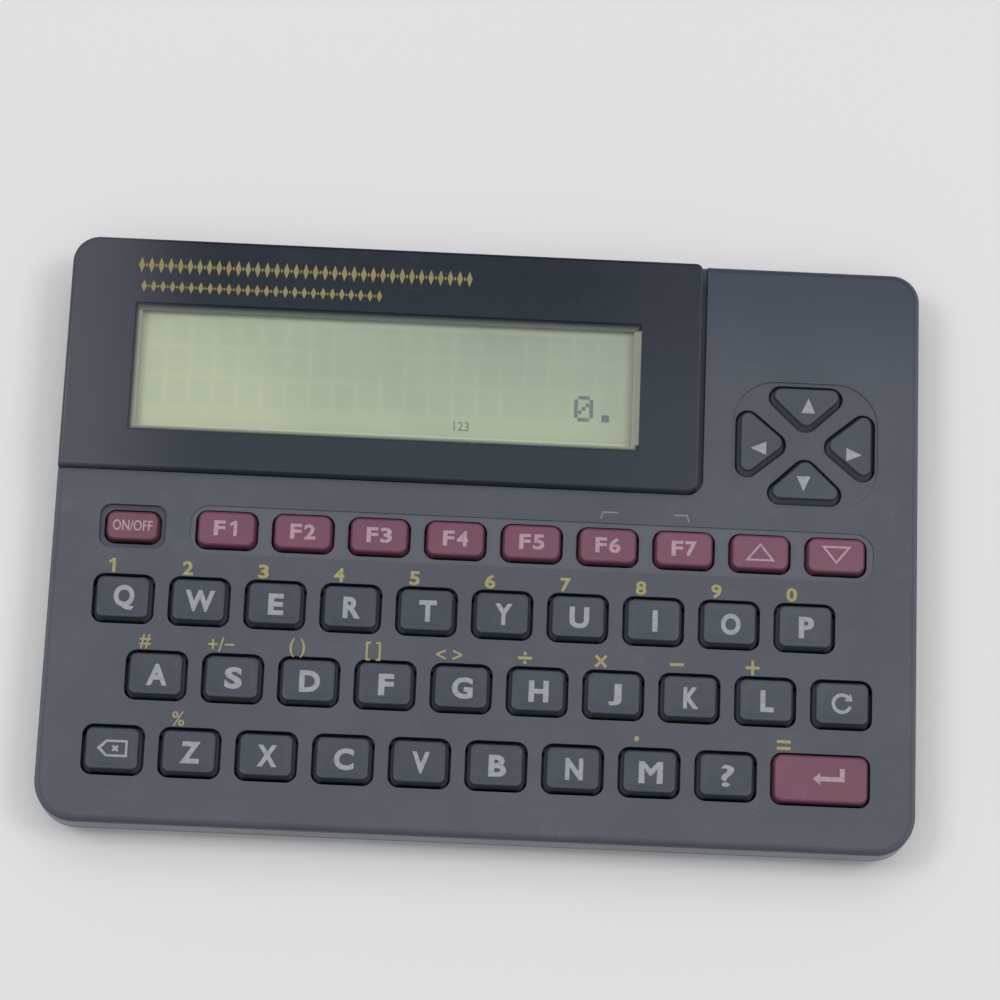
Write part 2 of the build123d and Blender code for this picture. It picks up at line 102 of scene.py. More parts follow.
def linear(colour: Colour) -> tuple[float, float, float, float]:
    """Turns an 8-bit display colour into Blender's linear one.

    Args:
        colour: Red, green and blue from 0 to 255.

    Returns:
        The linear colour with full alpha.
    """
    steps = [(part / 255 + 0.055) / 1.055 for part in colour]
    return (*(step ** 2.4 for step in steps), 1.0)


def metres(span: Point) -> Point:
    """Two lengths in metres."""
    return span[0] * MM, span[1] * MM


def box_mm(node: str) -> tuple[Vector, Vector]:
    """Lowest and highest corner of a part, in millimetres."""
    low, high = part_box(node)
    return Vector(low) / MM, Vector(high) / MM


# ---------------------------------------------------------------------------------------------
# Outlines and lofted meshes
# ---------------------------------------------------------------------------------------------


@dataclass(frozen=True)
class Outline:
    """Closed convex plan outline, anticlockwise, each corner a place and a radius."""

    corners: tuple[tuple[float, float, float], ...]
    steps: int = 8

    @classmethod
    def box(cls, centre: Point, size: Point, radius: float) -> "Outline":
        """Rounded rectangle.

        Args:
            centre: Its middle.
            size: Width and depth.
            radius: Radius of its corners.

        Returns:
            The outline.
        """
        signs = ((1, 1), (-1, 1), (-1, -1), (1, -1))
        return cls(tuple(
            (centre[0] + sx * size[0] / 2, centre[1] + sy * size[1] / 2, radius)
            for sx, sy in signs
        ))

    def inset(self, amount: float) -> "Outline":
        """The outline pulled in by an amount, or pushed out by a negative one."""
        places = [Vector(corner[:2]) for corner in self.corners]
        moved = []
        for index, (x, y, radius) in enumerate(self.corners):
            came = (places[index] - places[index - 1]).normalized()
            goes = (places[(index + 1) % len(places)] - places[index]).normalized()
            side_in, side_out = Vector((-came.y, came.x)), Vector((-goes.y, goes.x))
            shift = (side_in + side_out) * (amount / (1 + side_in.dot(side_out)))
            moved.append((x + shift.x, y + shift.y, radius - amount))
        return Outline(tuple(moved), self.steps)

    def ring(self, inset: float = 0.0, least_radius: float = 0.04) -> list[Point]:
        """Points round the outline.

        Args:
            inset: How far the outline is pulled in, or out where it is negative.
            least_radius: Radius that no corner goes below.

        Returns:
            The points. Every ring of one outline has as many, so that rings can be joined.
        """
        places = [Vector(corner[:2]) for corner in self.corners]
        points: list[Point] = []
        for index, (_, _, radius) in enumerate(self.corners):
            here = places[index]
            came = (here - places[index - 1]).normalized()
            goes = (places[(index + 1) % len(places)] - here).normalized()
            side_in, side_out = Vector((-came.y, came.x)), Vector((-goes.y, goes.x))
            corner = here + (side_in + side_out) * (inset / (1 + side_in.dot(side_out)))
            turned = came.angle_signed(goes) * -1
            round_by = max(radius - inset, least_radius)
            centre = corner - came * round_by * math.tan(turned / 2) + side_in * round_by
            first = math.atan2(-side_in.y, -side_in.x)
            for step in range(self.steps + 1):
                angle = first + turned * step / self.steps
                points.append((
                    centre.x + round_by * math.cos(angle), centre.y + round_by * math.sin(angle)
                ))
        return points


@dataclass(frozen=True)
class CapForm:
    """How a key's cap leans in and how its rim is rounded."""

    draft: float
    rim: float


@dataclass(frozen=True)
class Placing:
    """Where an outline's own plan lies: an origin, a turn in degrees."""

    origin: Point = (0.0, 0.0)
    turn: float = 0.0

    def at(self, point: Point, height: float) -> Vector:
        """Point of the plan as a place of the object, in metres."""
        angle = math.radians(self.turn)
        x = self.origin[0] + point[0] * math.cos(angle) - point[1] * math.sin(angle)
        y = self.origin[1] + point[0] * math.sin(angle) + point[1] * math.cos(angle)
        return Vector((x, y, height)) * MM


def add_object(name: str, mesh: bpy.types.Mesh, material: bpy.types.Material) -> bpy.types.Object:
    """Puts a mesh into the scene.

    Args:
        name: The piece's name.
        mesh: Its mesh, in metres.
        material: Its only material.

    Returns:
        The new object.
    """
    mesh.materials.clear()
    mesh.materials.append(material)
    piece = bpy.data.objects.new(name, mesh)
    bpy.context.scene.collection.objects.link(piece)
    return piece


def loft(name: str, rings: Sequence[Sequence[Vector]], material: bpy.types.Material) -> bpy.types.Object:
    """Joins rings of like count into a closed body, smooth over its rounded edges.

    Args:
        name: The piece's name.
        rings: The rings from the lowest to the highest, each anticlockwise.
        material: Its material.

    Returns:
        The new object.
    """
    body = bmesh.new()
    loops = [[body.verts.new(point) for point in ring] for ring in rings]
    for below, above in zip(loops, loops[1:]):
        for index, vertex in enumerate(below):
            after = (index + 1) % len(below)
            body.faces.new((vertex, below[after], above[after], above[index]))
    body.faces.new(reversed(loops[0]))
    body.faces.new(loops[-1])
    for face in body.faces:
        face.smooth = True
    mesh = bpy.data.meshes.new(name)
    body.to_mesh(mesh)
    body.free()
    piece = add_object(name, mesh, material)
    weigh_normals(piece)
    return piece


def weigh_normals(piece: bpy.types.Object) -> None:
    """Lets wide faces rule the shading of the small ones that round their edges."""
    weights = piece.modifiers.new("normals", "WEIGHTED_NORMAL")
    weights.weight = 100
    weights.keep_sharp = False


# ---------------------------------------------------------------------------------------------
# Node wiring and the effects that several finishes share
# ---------------------------------------------------------------------------------------------


class Wiring:
    """Places nodes in a node tree and joins their sockets."""

    def __init__(self, tree: bpy.types.NodeTree) -> None:
        """Starts on an empty tree."""
        self.tree = tree
        tree.nodes.clear()

    def node(self, kind: str, inputs: dict[Any, Any] | None = None, **settings: Any) -> bpy.types.Node:
        """Adds a node.

        Args:
            kind: Its Blender type.
            inputs: Values or sockets for its inputs, by name or number.
            **settings: Its properties.

        Returns:
            The node.
        """
        made = self.tree.nodes.new(kind)
        for key, value in settings.items():
            setattr(made, key, value)
        for key, value in (inputs or {}).items():
            if isinstance(value, bpy.types.NodeSocket):
                self.tree.links.new(value, made.inputs[key])
            else:
                made.inputs[key].default_value = value
        return made

    def maths(self, operation: str, first: Any, second: Any = 0.0, clamp: bool = False) -> Socket:
        """Output of a Math node on one or two values."""
        made = self.node("ShaderNodeMath", {0: first, 1: second}, operation=operation, use_clamp=clamp)
        return made.outputs[0]

    def ramp(self, value: Any, low: float, high: float, to_low: float = 0.0, to_high: float = 1.0) -> Socket:
        """Maps a value smoothly from one range to another, held inside it."""
        made = self.node(
            "ShaderNodeMapRange",
            {"Value": value, "From Min": low, "From Max": high, "To Min": to_low, "To Max": to_high},
            interpolation_type="SMOOTHSTEP",
        )
        return made.outputs["Result"]

    def band(self, value: Socket, span: Point) -> Socket:
        """Mask that rises and falls again inside a span."""
        low, high = span
        reach = (high - low) * 0.4
        rising = self.ramp(value, low, low + reach)
        falling = self.ramp(value, high - reach, high, 1.0, 0.0)
        return self.maths("MULTIPLY", rising, falling)

    def blend(self, share: Any, first: Any, second: Any) -> Socket:
        """Colour between two others."""
        made = self.node("ShaderNodeMix", {0: share, 6: first, 7: second}, data_type="RGBA")
        return made.outputs[2]

    def place(self) -> Socket:
        """Place on the object, in metres."""
        return self.node("ShaderNodeTexCoord").outputs["Object"]

    def noise(self, scale: Any, detail: float = 2.0, roughness: float = 0.5, place: Socket | None = None) -> Socket:
        """Noise over the object.

        Args:
            scale: Features to the metre.
            detail: Octaves.
            roughness: Strength of the finer ones.
            place: Where it is read, or the place on the object.

        Returns:
            Its value, about 0.5.
        """
        made = self.node("ShaderNodeTexNoise", {
            "Vector": place or self.place(), "Scale": scale, "Detail": detail, "Roughness": roughness,
        })
        return made.outputs["Fac"]

    def finish(self, shader: bpy.types.Node) -> None:
        """Ends a material's tree in this shader."""
        self.node("ShaderNodeOutputMaterial", {"Surface": shader.outputs[0]})


class Effect(Enum):
    """Node groups that several finishes place."""

    GRAIN = "moulded_grain"
    WEAR = "edge_wear"
    DUST = "settled_dust"
    SMUDGE = "handling_marks"
    HAIRLINE = "hairline_scratches"


class EffectShelf:
    """Builds each shared effect once and places it in materials."""

    def __init__(self) -> None:
        """Builds every effect."""
        self.groups = {
            Effect.GRAIN: self.grain(),
            Effect.WEAR: self.wear(),
            Effect.DUST: self.dust(),
            Effect.SMUDGE: self.smudge(),
            Effect.HAIRLINE: self.hairline(),
        }

    @staticmethod
    def start(effect: Effect, inputs: dict[str, float], outputs: Iterable[str]) -> tuple[Wiring, bpy.types.Node, bpy.types.Node]:
        """Opens a node group with named sockets.

        Args:
            effect: Which effect it holds.
            inputs: Its inputs with the values that they start from.
            outputs: Its outputs.

        Returns:
            The wiring of the group, its input node and its output node.
        """
        tree = bpy.data.node_groups.new(effect.value, "ShaderNodeTree")
        for name, value in inputs.items():
            socket = tree.interface.new_socket(name=name, in_out="INPUT", socket_type="NodeSocketFloat")
            socket.default_value = value
        for name in outputs:
            tree.interface.new_socket(name=name, in_out="OUTPUT", socket_type="NodeSocketFloat")
        wiring = Wiring(tree)
        return wiring, wiring.node("NodeGroupInput"), wiring.node("NodeGroupOutput")

    def grain(self) -> bpy.types.NodeTree:
        """Spark-eroded mould texture: a fine height, and a slow drift of tone."""
        wiring, given, result = self.start(Effect.GRAIN, {"Scale": 4000.0, "Drift": 60.0}, ("Height", "Tone"))
        fine = wiring.noise(given.outputs["Scale"], 3.0, 0.6)
        coarse = wiring.noise(wiring.maths("MULTIPLY", given.outputs["Scale"], 0.31), 1.0)
        height = wiring.maths("ADD", wiring.maths("MULTIPLY", fine, 0.7), wiring.maths("MULTIPLY", coarse, 0.3))
        wiring.tree.links.new(height, result.inputs["Height"])
        wiring.tree.links.new(wiring.noise(given.outputs["Drift"], 3.0), result.inputs["Tone"])
        return wiring.tree

    def wear(self) -> bpy.types.NodeTree:
        """Mask of convex edges rubbed by use, broken up by noise."""
        wiring, given, result = self.start(
            Effect.WEAR, {"Radius": 0.0003, "Amount": 0.5, "Scale": 700.0}, ("Mask",)
        )
        rounded = wiring.node("ShaderNodeBevel", {"Radius": given.outputs["Radius"]}, samples=4)
        face = wiring.node("ShaderNodeNewGeometry")
        agree = wiring.node(
            "ShaderNodeVectorMath", {0: rounded.outputs[0], 1: face.outputs["True Normal"]}, operation="DOT_PRODUCT"
        )
        edge = wiring.ramp(agree.outputs["Value"], 0.97, 0.75)
        patch = wiring.ramp(wiring.noise(given.outputs["Scale"], 3.0, 0.65), 0.42, 0.62)
        mask = wiring.maths("MULTIPLY", wiring.maths("MULTIPLY", edge, patch), given.outputs["Amount"])
        wiring.tree.links.new(mask, result.inputs["Mask"])
        return wiring.tree

    def dust(self) -> bpy.types.NodeTree:
        """Mask of specks that lie on faces turned upwards, thicker in some places."""
        wiring, given, result = self.start(Effect.DUST, {"Scale": 900.0, "Amount": 0.3}, ("Mask",))
        cells = wiring.node(
            "ShaderNodeTexVoronoi", {"Vector": wiring.place(), "Scale": given.outputs["Scale"]}
        )
        lone = wiring.node("ShaderNodeSeparateColor", {"Color": cells.outputs["Color"]})
        size = wiring.ramp(lone.outputs["Red"], 0.86, 1.0, 0.0, 0.15)
        far = wiring.maths("SUBTRACT", cells.outputs["Distance"], size)
        speck = wiring.ramp(far, -0.06, 0.02, 1.0, 0.0)
        thick = wiring.ramp(wiring.noise(55.0, 2.0), 0.4, 0.7, 0.35, 1.0)
        normal = wiring.node("ShaderNodeSeparateXYZ", {0: wiring.node("ShaderNodeNewGeometry").outputs["Normal"]})
        upward = wiring.ramp(normal.outputs["Z"], 0.5, 0.9)
        film_and_lit_patch = wiring.maths("MULTIPLY", wiring.ramp(wiring.noise(240.0, 4.0, 0.7), 0.45, 0.8), 0.25)
        lying = wiring.maths("MULTIPLY", wiring.maths("MAXIMUM", speck, film_and_lit_patch), wiring.maths("MULTIPLY", thick, upward))
        mask = wiring.maths("MULTIPLY", lying, given.outputs["Amount"], clamp=True)
        wiring.tree.links.new(mask, result.inputs["Mask"])
        return wiring.tree

    def smudge(self) -> bpy.types.NodeTree:
        """Mask of places polished or dulled by fingers."""
        wiring, given, result = self.start(Effect.SMUDGE, {"Scale": 90.0, "Amount": 0.5}, ("Mask",))
        broad = wiring.ramp(wiring.noise(given.outputs["Scale"], 3.0, 0.6), 0.35, 0.7)
        close = wiring.noise(wiring.maths("MULTIPLY", given.outputs["Scale"], 7.0), 4.0, 0.7)
        mask = wiring.maths("MULTIPLY", wiring.maths("MULTIPLY", broad, close), given.outputs["Amount"])
        wiring.tree.links.new(mask, result.inputs["Mask"])
        return wiring.tree

    def hairline(self) -> bpy.types.NodeTree:
        """Mask of long fine scratches in two directions."""
        wiring, given, result = self.start(Effect.HAIRLINE, {"Scale": 45.0, "Amount": 0.3}, ("Mask",))
        lines = []
        for turn, stretch in ((0.5, 0.04), (-0.9, 0.06)):
            turned = wiring.node(
                "ShaderNodeMapping",
                {"Vector": wiring.place(), "Rotation": (0.0, 0.0, turn), "Scale": (stretch, 1.0, 1.0)},
            )
            strands = wiring.noise(
                wiring.maths("MULTIPLY", given.outputs["Scale"], 30.0), 1.0, 0.5, turned.outputs[0]
            )
            broken = wiring.ramp(wiring.noise(given.outputs["Scale"], 2.0), 0.5, 0.65)
            lines.append(wiring.maths("MULTIPLY", wiring.ramp(strands, 0.74, 0.8), broken))
        mask = wiring.maths("MULTIPLY", wiring.maths("MAXIMUM", *lines), given.outputs["Amount"])
        wiring.tree.links.new(mask, result.inputs["Mask"])
        return wiring.tree

    def use(self, wiring: Wiring, effect: Effect, **values: float) -> bpy.types.Node:
        """Places an effect in a material.

        Args:
            wiring: The material's wiring.
            effect: Which effect.
            **values: Its inputs, with a capital first letter.

        Returns:
            The group node.
        """
        made = wiring.node("ShaderNodeGroup", node_tree=self.groups[effect])
        for name, value in values.items():
            made.inputs[name].default_value = value
        return made


# ---------------------------------------------------------------------------------------------
# Finishes
# ---------------------------------------------------------------------------------------------


def new_material(name: str) -> tuple[bpy.types.Material, Wiring]:
    """Starts a material with an empty node tree."""
    material = bpy.data.materials.new(name)
    material.use_nodes = True
    return material, Wiring(material.node_tree)


@dataclass(frozen=True)
class MouldedPlastic:
    """Moulded plastic or rubber with its grain, worn edges, dust and handling marks."""

    name: str
    colour: Colour
    roughness: float
    grain_size: float = 0.3
    grain_depth: float = 0.006
    tone_drift: float = 0.06
    wear: float = 0.25
    wear_colour: Colour = (132, 136, 142)
    dust: float = 0.2
    dust_colour: Colour = (168, 168, 164)
    smudge: float = 0.3
    hairline: float = 0.0
    specular: float = 0.4

    def build(self, shelf: EffectShelf) -> bpy.types.Material:
        """Makes the material.

        Args:
            shelf: Where the shared effects come from.

        Returns:
            The material.
        """
        material, wiring = new_material(self.name)
        grain = shelf.use(wiring, Effect.GRAIN, Scale=1 / (self.grain_size * MM))
        wear = shelf.use(wiring, Effect.WEAR, Amount=self.wear)
        dust = shelf.use(wiring, Effect.DUST, Amount=self.dust)
        smudge = shelf.use(wiring, Effect.SMUDGE, Amount=self.smudge)
        base = linear(self.colour)
        dark = tuple(part * (1 - self.tone_drift) for part in base[:3]) + (1.0,)
        light = tuple(part * (1 + self.tone_drift) for part in base[:3]) + (1.0,)
        colour = wiring.blend(wiring.ramp(grain.outputs["Tone"], 0.3, 0.7), dark, light)
        speckle = wiring.ramp(grain.outputs["Height"], 0.35, 0.65, 0.0, self.tone_drift)
        colour = wiring.blend(speckle, colour, linear(self.wear_colour))
        colour = wiring.blend(wear.outputs["Mask"], colour, linear(self.wear_colour))
        if self.hairline:
            scratches = shelf.use(wiring, Effect.HAIRLINE, Amount=self.hairline)
            colour = wiring.blend(scratches.outputs["Mask"], colour, linear(self.wear_colour))
        colour = wiring.blend(dust.outputs["Mask"], colour, linear(self.dust_colour))
        colour = self.tint(wiring, colour)
        rough = wiring.ramp(smudge.outputs["Mask"], 0.0, 0.4, self.roughness, self.roughness - 0.12)
        rough = wiring.maths("ADD", rough, wiring.maths("MULTIPLY", dust.outputs["Mask"], 0.4), clamp=True)
        rough = self.polish(wiring, rough)
        bump = wiring.node(
            "ShaderNodeBump", {"Strength": 1.0, "Distance": self.grain_depth * MM, "Height": grain.outputs["Height"]}
        )
        shader = wiring.node("ShaderNodeBsdfPrincipled", {
            "Base Color": colour, "Roughness": rough, "Normal": bump.outputs[0],
            "Specular IOR Level": self.specular,
        })
        wiring.finish(shader)
        return material

    def tint(self, wiring: Wiring, colour: Socket) -> Socket:
        """Lays over the colour what only this finish has: nothing on plain plastic."""
        return colour

    def polish(self, wiring: Wiring, rough: Socket) -> Socket:
        """Changes the roughness where only this finish does: nowhere on plain plastic."""
        return rough


@dataclass(frozen=True)
class CasePlastic(MouldedPlastic):
    """Case plastic: painted shade at the back, in its wells and under its top edge, smoother on its walls."""

    back_shade_colour: Colour = (53, 63, 78)
    light_falloff_span: Point = (22.0, 47.0)
    top_span: Point = (10.6, 11.6)
    painted_shade_colour: Colour = (40, 47, 56)
    well_span: Point = (10.9, 11.5)
    well_shade: float = 0.85
    plan_reach: Point = (66.2, 45.2)
    rim_span: Point = (10.75, 11.75)
    rim_shade: float = 0.5
    shine_colour: Colour = (150, 153, 158)
    shine_span: Point = (11.3, 11.97)
    shine: float = 0.3
    channel_light_colour: Colour = (110, 113, 119)
    channel_span: Point = (11.4, 11.98)
    channel_back: Point = (5.5, 6.5)
    channel_light_share: float = 0.3
    wall_span: Point = (10.2, 10.9)
    wall_polish: float = 0.6

    def tint(self, wiring: Wiring, colour: Socket) -> Socket:
        """Lays painted shade at the back, in the wells and under the top edge, painted light in the channel and a
        painted highlight on the edge over the colour.

        Args:
            wiring: The material's wiring.
            colour: Colour of the plastic.

        Returns:
            The colour with all of them.
        """
        place = wiring.node("ShaderNodeSeparateXYZ", {0: wiring.place()})
        facing = wiring.node("ShaderNodeSeparateXYZ", {0: wiring.node("ShaderNodeNewGeometry").outputs["Normal"]})
        height = place.outputs["Z"]
        # painted shade: the top face darkens towards the back
        back_shade = wiring.ramp(place.outputs["Y"], *metres(self.light_falloff_span))
        back_shade = wiring.maths("MULTIPLY", back_shade, wiring.ramp(height, *metres(self.top_span)))
        colour = wiring.blend(back_shade, colour, linear(self.back_shade_colour))
        within = []
        for axis in (0, 1):
            away = wiring.maths("ABSOLUTE", place.outputs[axis])
            reach = self.plan_reach[axis]
            within.append(wiring.ramp(away, *metres((reach, reach + 0.3)), 1.0, 0.0))
        inside = wiring.maths("MULTIPLY", *within)
        outside = wiring.maths("SUBTRACT", 1.0, inside)
        # painted shade in the wells, the groove by the panel and the key openings, and in a band under the top edge
        deep = wiring.ramp(height, *metres(self.well_span), self.well_shade, 0.0)
        rim = wiring.maths("MULTIPLY", wiring.band(height, metres(self.rim_span)), outside)
        rim = wiring.maths("MULTIPLY", rim, wiring.ramp(facing.outputs["Y"], 0.1, 0.5, self.rim_shade, 0.0))
        painted_shade = wiring.maths("ADD", wiring.maths("MULTIPLY", deep, inside), rim, clamp=True)
        colour = wiring.blend(painted_shade, colour, linear(self.painted_shade_colour))
        # painted light that lifts the channel floor in front
        channel = wiring.maths("MULTIPLY", wiring.band(height, metres(self.channel_span)), inside)
        front = wiring.ramp(place.outputs["Y"], *metres(self.channel_back), self.channel_light_share, 0.0)
        channel = wiring.maths("MULTIPLY", channel, front)
        colour = wiring.blend(channel, colour, linear(self.channel_light_colour))
        # painted highlight along the top edge of the side walls
        sideways = wiring.maths("MULTIPLY", wiring.maths("ABSOLUTE", facing.outputs["X"]), outside)
        shine = wiring.maths("MULTIPLY", wiring.band(height, metres(self.shine_span)), self.shine)
        return wiring.blend(wiring.maths("MULTIPLY", shine, sideways), colour, linear(self.shine_colour))

    def polish(self, wiring: Wiring, rough: Socket) -> Socket:
        """Makes the walls below the top edge smoother."""
        place = wiring.node("ShaderNodeSeparateXYZ", {0: wiring.place()})
        share = wiring.ramp(place.outputs["Z"], *metres(self.wall_span), self.wall_polish, 1.0)
        return wiring.maths("MULTIPLY", rough, share)


@dataclass(frozen=True)
class PanelPlastic(MouldedPlastic):
    """Glossy panel plastic with painted reflections towards its front and side edges, a painted highlight on its right
    edge and pale grey painted light on its aperture's bevel.
    """

    front_sheen_colour: Colour = (39, 49, 58)
    light_falloff_span: Point = (17.0, 45.0)
    bevel_light_colour: Colour = (168, 176, 160)
    bevel_span: Point = (12.55, 13.5)
    bevel_width: float = 1.25
    plain_side: float = 0.85
    shaded_back_share: float = 0.45
    sheen_colour: Colour = (81, 83, 90)
    left_sheen: float = 0.75
    left_sheen_span: Point = (-68.5, -44.0)
    right_sheen: float = 0.14
    right_sheen_span: Point = (12.0, 30.0)
    shine_colour: Colour = (104, 116, 128)
    shine_reach: Point = (0.6, -0.15)
    shine: float = 0.35
    window_lap: float = 1.25
    blur: float = 0.08

    def tint(self, wiring: Wiring, colour: Socket) -> Socket:
        """Lays the painted reflections of the front and the side edges, the painted highlight of the right edge and
        the bevel's painted light over the colour.

        Args:
            wiring: The material's wiring.
            colour: Colour of the plastic.

        Returns:
            The colour with all of them.
        """
        place = wiring.node("ShaderNodeSeparateXYZ", {0: wiring.place()})
        # painted reflection: the glossy top is lighter towards the front
        frontward = wiring.ramp(place.outputs["Y"], *metres(self.light_falloff_span), 1.0, 0.0)
        colour = wiring.blend(frontward, colour, linear(self.front_sheen_colour))
        # painted reflection, lighter towards the left and the right edges
        leftward = wiring.ramp(place.outputs["X"], *metres(self.left_sheen_span), self.left_sheen, 0.0)
        rightward = wiring.ramp(place.outputs["X"], *metres(self.right_sheen_span), 0.0, self.right_sheen)
        colour = wiring.blend(wiring.maths("MAXIMUM", leftward, rightward), colour, linear(self.sheen_colour))
        # painted highlight along the rounded right edge
        right = box_mm("display_bezel")[1].x
        edge = wiring.band(place.outputs["X"], metres(tuple(right - reach for reach in self.shine_reach)))
        colour = wiring.blend(wiring.maths("MULTIPLY", edge, self.shine), colour, linear(self.shine_colour))
        # painted light on the aperture's bevel
        return wiring.blend(self.bevel_light(wiring, place), colour, linear(self.bevel_light_colour))

    def bevel_light(self, wiring: Wiring, place: bpy.types.Node) -> Socket:
        """Share of the bevel's painted light: none at its rim, more down at the glass, less on its shaded back side,
        plain on its right side.

        Args:
            wiring: The material's wiring.
            place: Node with the place on the object.

        Returns:
            The share.
        """
        low, high = box_mm("display_window")
        inside, sides = [], []
        for axis in (0, 1):
            middle = (low[axis] + high[axis]) / 2
            half = (high[axis] - low[axis]) / 2 - self.window_lap
            offset = wiring.maths("SUBTRACT", place.outputs[axis], middle * MM)
            away = wiring.maths("ABSOLUTE", offset)
            inside.append(wiring.ramp(away, *metres((half - self.blur, half + self.blur)), 1.0, 0.0))
            inner = metres((half - self.bevel_width, half - self.bevel_width + 2 * self.blur))
            sides.append((wiring.ramp(offset, *inner), wiring.ramp(away, *inner, 1.0, 0.0)))
        (right, _), (back, between) = sides
        right = wiring.maths("MULTIPLY", wiring.maths("MULTIPLY", right, between), self.plain_side)
        deep = wiring.ramp(place.outputs["Z"], *metres(self.bevel_span), 1.0, 0.0)
        # less painted light on the bevel's back side, which lies in shade
        deep = wiring.maths("MULTIPLY", deep, wiring.ramp(back, 0.0, 1.0, 1.0, self.shaded_back_share))
        lit_bevel = wiring.maths("MAXIMUM", deep, right)
        return wiring.maths("MULTIPLY", wiring.maths("MULTIPLY", *inside), lit_bevel)


@dataclass(frozen=True)
class KeyPlastic(MouldedPlastic):
    """Key plastic whose skirt, down in its opening, is painted paler to lift its shade."""

    skirt_span: Point = (12.0, 13.05)
    skirt_lift: float = 0.7
    skirt_lift_colour: Colour = (106, 113, 123)
    lit: float = 0.06
    lit_span: Point = (-5.0, 40.0)
    lit_rows: Point = (-32.0, -18.0)

    def tint(self, wiring: Wiring, colour: Socket) -> Socket:
        """Lays painted light on the skirt below the cap's rim, and on the keys at the back right."""
        place = wiring.node("ShaderNodeSeparateXYZ", {0: wiring.place()})
        # painted light: a pale patch over the keys at the back right
        film_and_lit_patch = wiring.ramp(place.outputs["X"], *metres(self.lit_span), 0.0, self.lit)
        film_and_lit_patch = wiring.maths("MULTIPLY", film_and_lit_patch, wiring.ramp(place.outputs["Y"], *metres(self.lit_rows)))
        colour = wiring.blend(film_and_lit_patch, colour, linear(self.wear_colour))
        # painted light that lifts the shaded skirt down in the opening
        deep = wiring.ramp(place.outputs["Z"], *metres(self.skirt_span), self.skirt_lift, 0.0)
        return wiring.blend(deep, colour, linear(self.skirt_lift_colour))


@dataclass(frozen=True)
class PrintedInk:
    """Pad-printed ink that has thinned a little where fingers rub it."""

    name: str
    colour: Colour
    under: Colour
    fading: float = 0.35
    roughness: float = 0.55

    def build(self, shelf: EffectShelf) -> bpy.types.Material:
        """Makes the material, with shelf's effects."""
        material, wiring = new_material(self.name)
        thin = wiring.ramp(wiring.noise(1500.0, 4.0, 0.7), 0.35, 0.75, 0.0, self.fading)
        dust = shelf.use(wiring, Effect.DUST, Amount=0.15)
        colour = wiring.blend(thin, linear(self.colour), linear(self.under))
        colour = wiring.blend(dust.outputs["Mask"], colour, linear((190, 190, 186)))
        rough = wiring.ramp(thin, 0.0, 1.0, self.roughness, self.roughness - 0.1)
        wiring.finish(wiring.node("ShaderNodeBsdfPrincipled", {"Base Color": colour, "Roughness": rough}))
        return material


@dataclass(frozen=True)
class ClearAcrylic:
    """Clear window sheet with smudges and a little dust."""

    name: str = "clear_acrylic"
    roughness: float = 0.03
    index: float = 1.49

    def build(self, shelf: EffectShelf) -> bpy.types.Material:
        """Makes the material. Lamps shine through it as through thin sheet, with shelf's effects on top."""
        material, wiring = new_material(self.name)
        smudge = shelf.use(wiring, Effect.SMUDGE, Amount=0.5, Scale=60.0)
        dust = shelf.use(wiring, Effect.DUST, Amount=0.1, Scale=700.0)
        rough = wiring.ramp(smudge.outputs["Mask"], 0.05, 0.4, self.roughness, self.roughness + 0.12)
        rough = wiring.maths("ADD", rough, dust.outputs["Mask"], clamp=True)
        colour = wiring.blend(dust.outputs["Mask"], (1.0, 1.0, 1.0, 1.0), linear((214, 214, 208)))
        sheet = wiring.node("ShaderNodeBsdfPrincipled", {
            "Base Color": colour, "Roughness": rough, "IOR": self.index, "Transmission Weight": 1.0,
        })
        straight = wiring.node("ShaderNodeBsdfTransparent")
        rays = wiring.node("ShaderNodeLightPath")
        through = wiring.maths("MAXIMUM", rays.outputs["Is Shadow Ray"], rays.outputs["Is Diffuse Ray"])
        wiring.finish(wiring.node("ShaderNodeMixShader", {0: through, 1: sheet.outputs[0], 2: straight.outputs[0]}))
        return material


@dataclass(frozen=True)
class CrystalGlass:
    """Reflective liquid crystal glass: grey green, with painted light that makes it paler and yellower towards its lit
    corner and at the back rim.
    """

    name: str = "crystal_glass"
    green: Colour = (133, 149, 126)
    warm: Colour = (171, 183, 147)
    rim: Colour = (184, 194, 172)
    rim_lift_share: float = 0.35
    rim_span: Point = (1.3, 0.5)
    aperture_inset: float = 2.35
    roughness: float = 0.35

    def build(self, shelf: EffectShelf) -> bpy.types.Material:
        """Makes the material, with shelf's effects."""
        material, wiring = new_material(self.name)
        place = wiring.node("ShaderNodeSeparateXYZ", {0: wiring.place()})
        # painted light: paler and yellower towards the front left
        across = wiring.ramp(place.outputs["X"], -0.057, 0.0, 0.85, 0.15)
        down = wiring.ramp(place.outputs["Y"], 0.034, 0.016, 0.0, 0.35)
        cloud = wiring.ramp(wiring.noise(70.0, 3.0), 0.3, 0.7, -0.12, 0.12)
        share = wiring.maths("ADD", wiring.maths("ADD", across, down), cloud, clamp=True)
        colour = wiring.blend(share, linear(self.green), linear(self.warm))
        fine = shelf.use(wiring, Effect.GRAIN, Scale=9000.0)
        colour = wiring.blend(wiring.ramp(fine.outputs["Height"], 0.3, 0.7, 0.0, 0.06), colour, linear(self.green))
        # painted light that lifts the shade cast on the glass by the aperture's back edge
        back = box_mm("display_window")[1].y - self.aperture_inset
        rim = wiring.ramp(
            place.outputs["Y"], *metres(tuple(back - reach for reach in self.rim_span)), 0.0, self.rim_lift_share
        )
        colour = wiring.blend(rim, colour, linear(self.rim))
        wiring.finish(wiring.node("ShaderNodeBsdfPrincipled", {"Base Color": colour, "Roughness": self.roughness}))
        return material


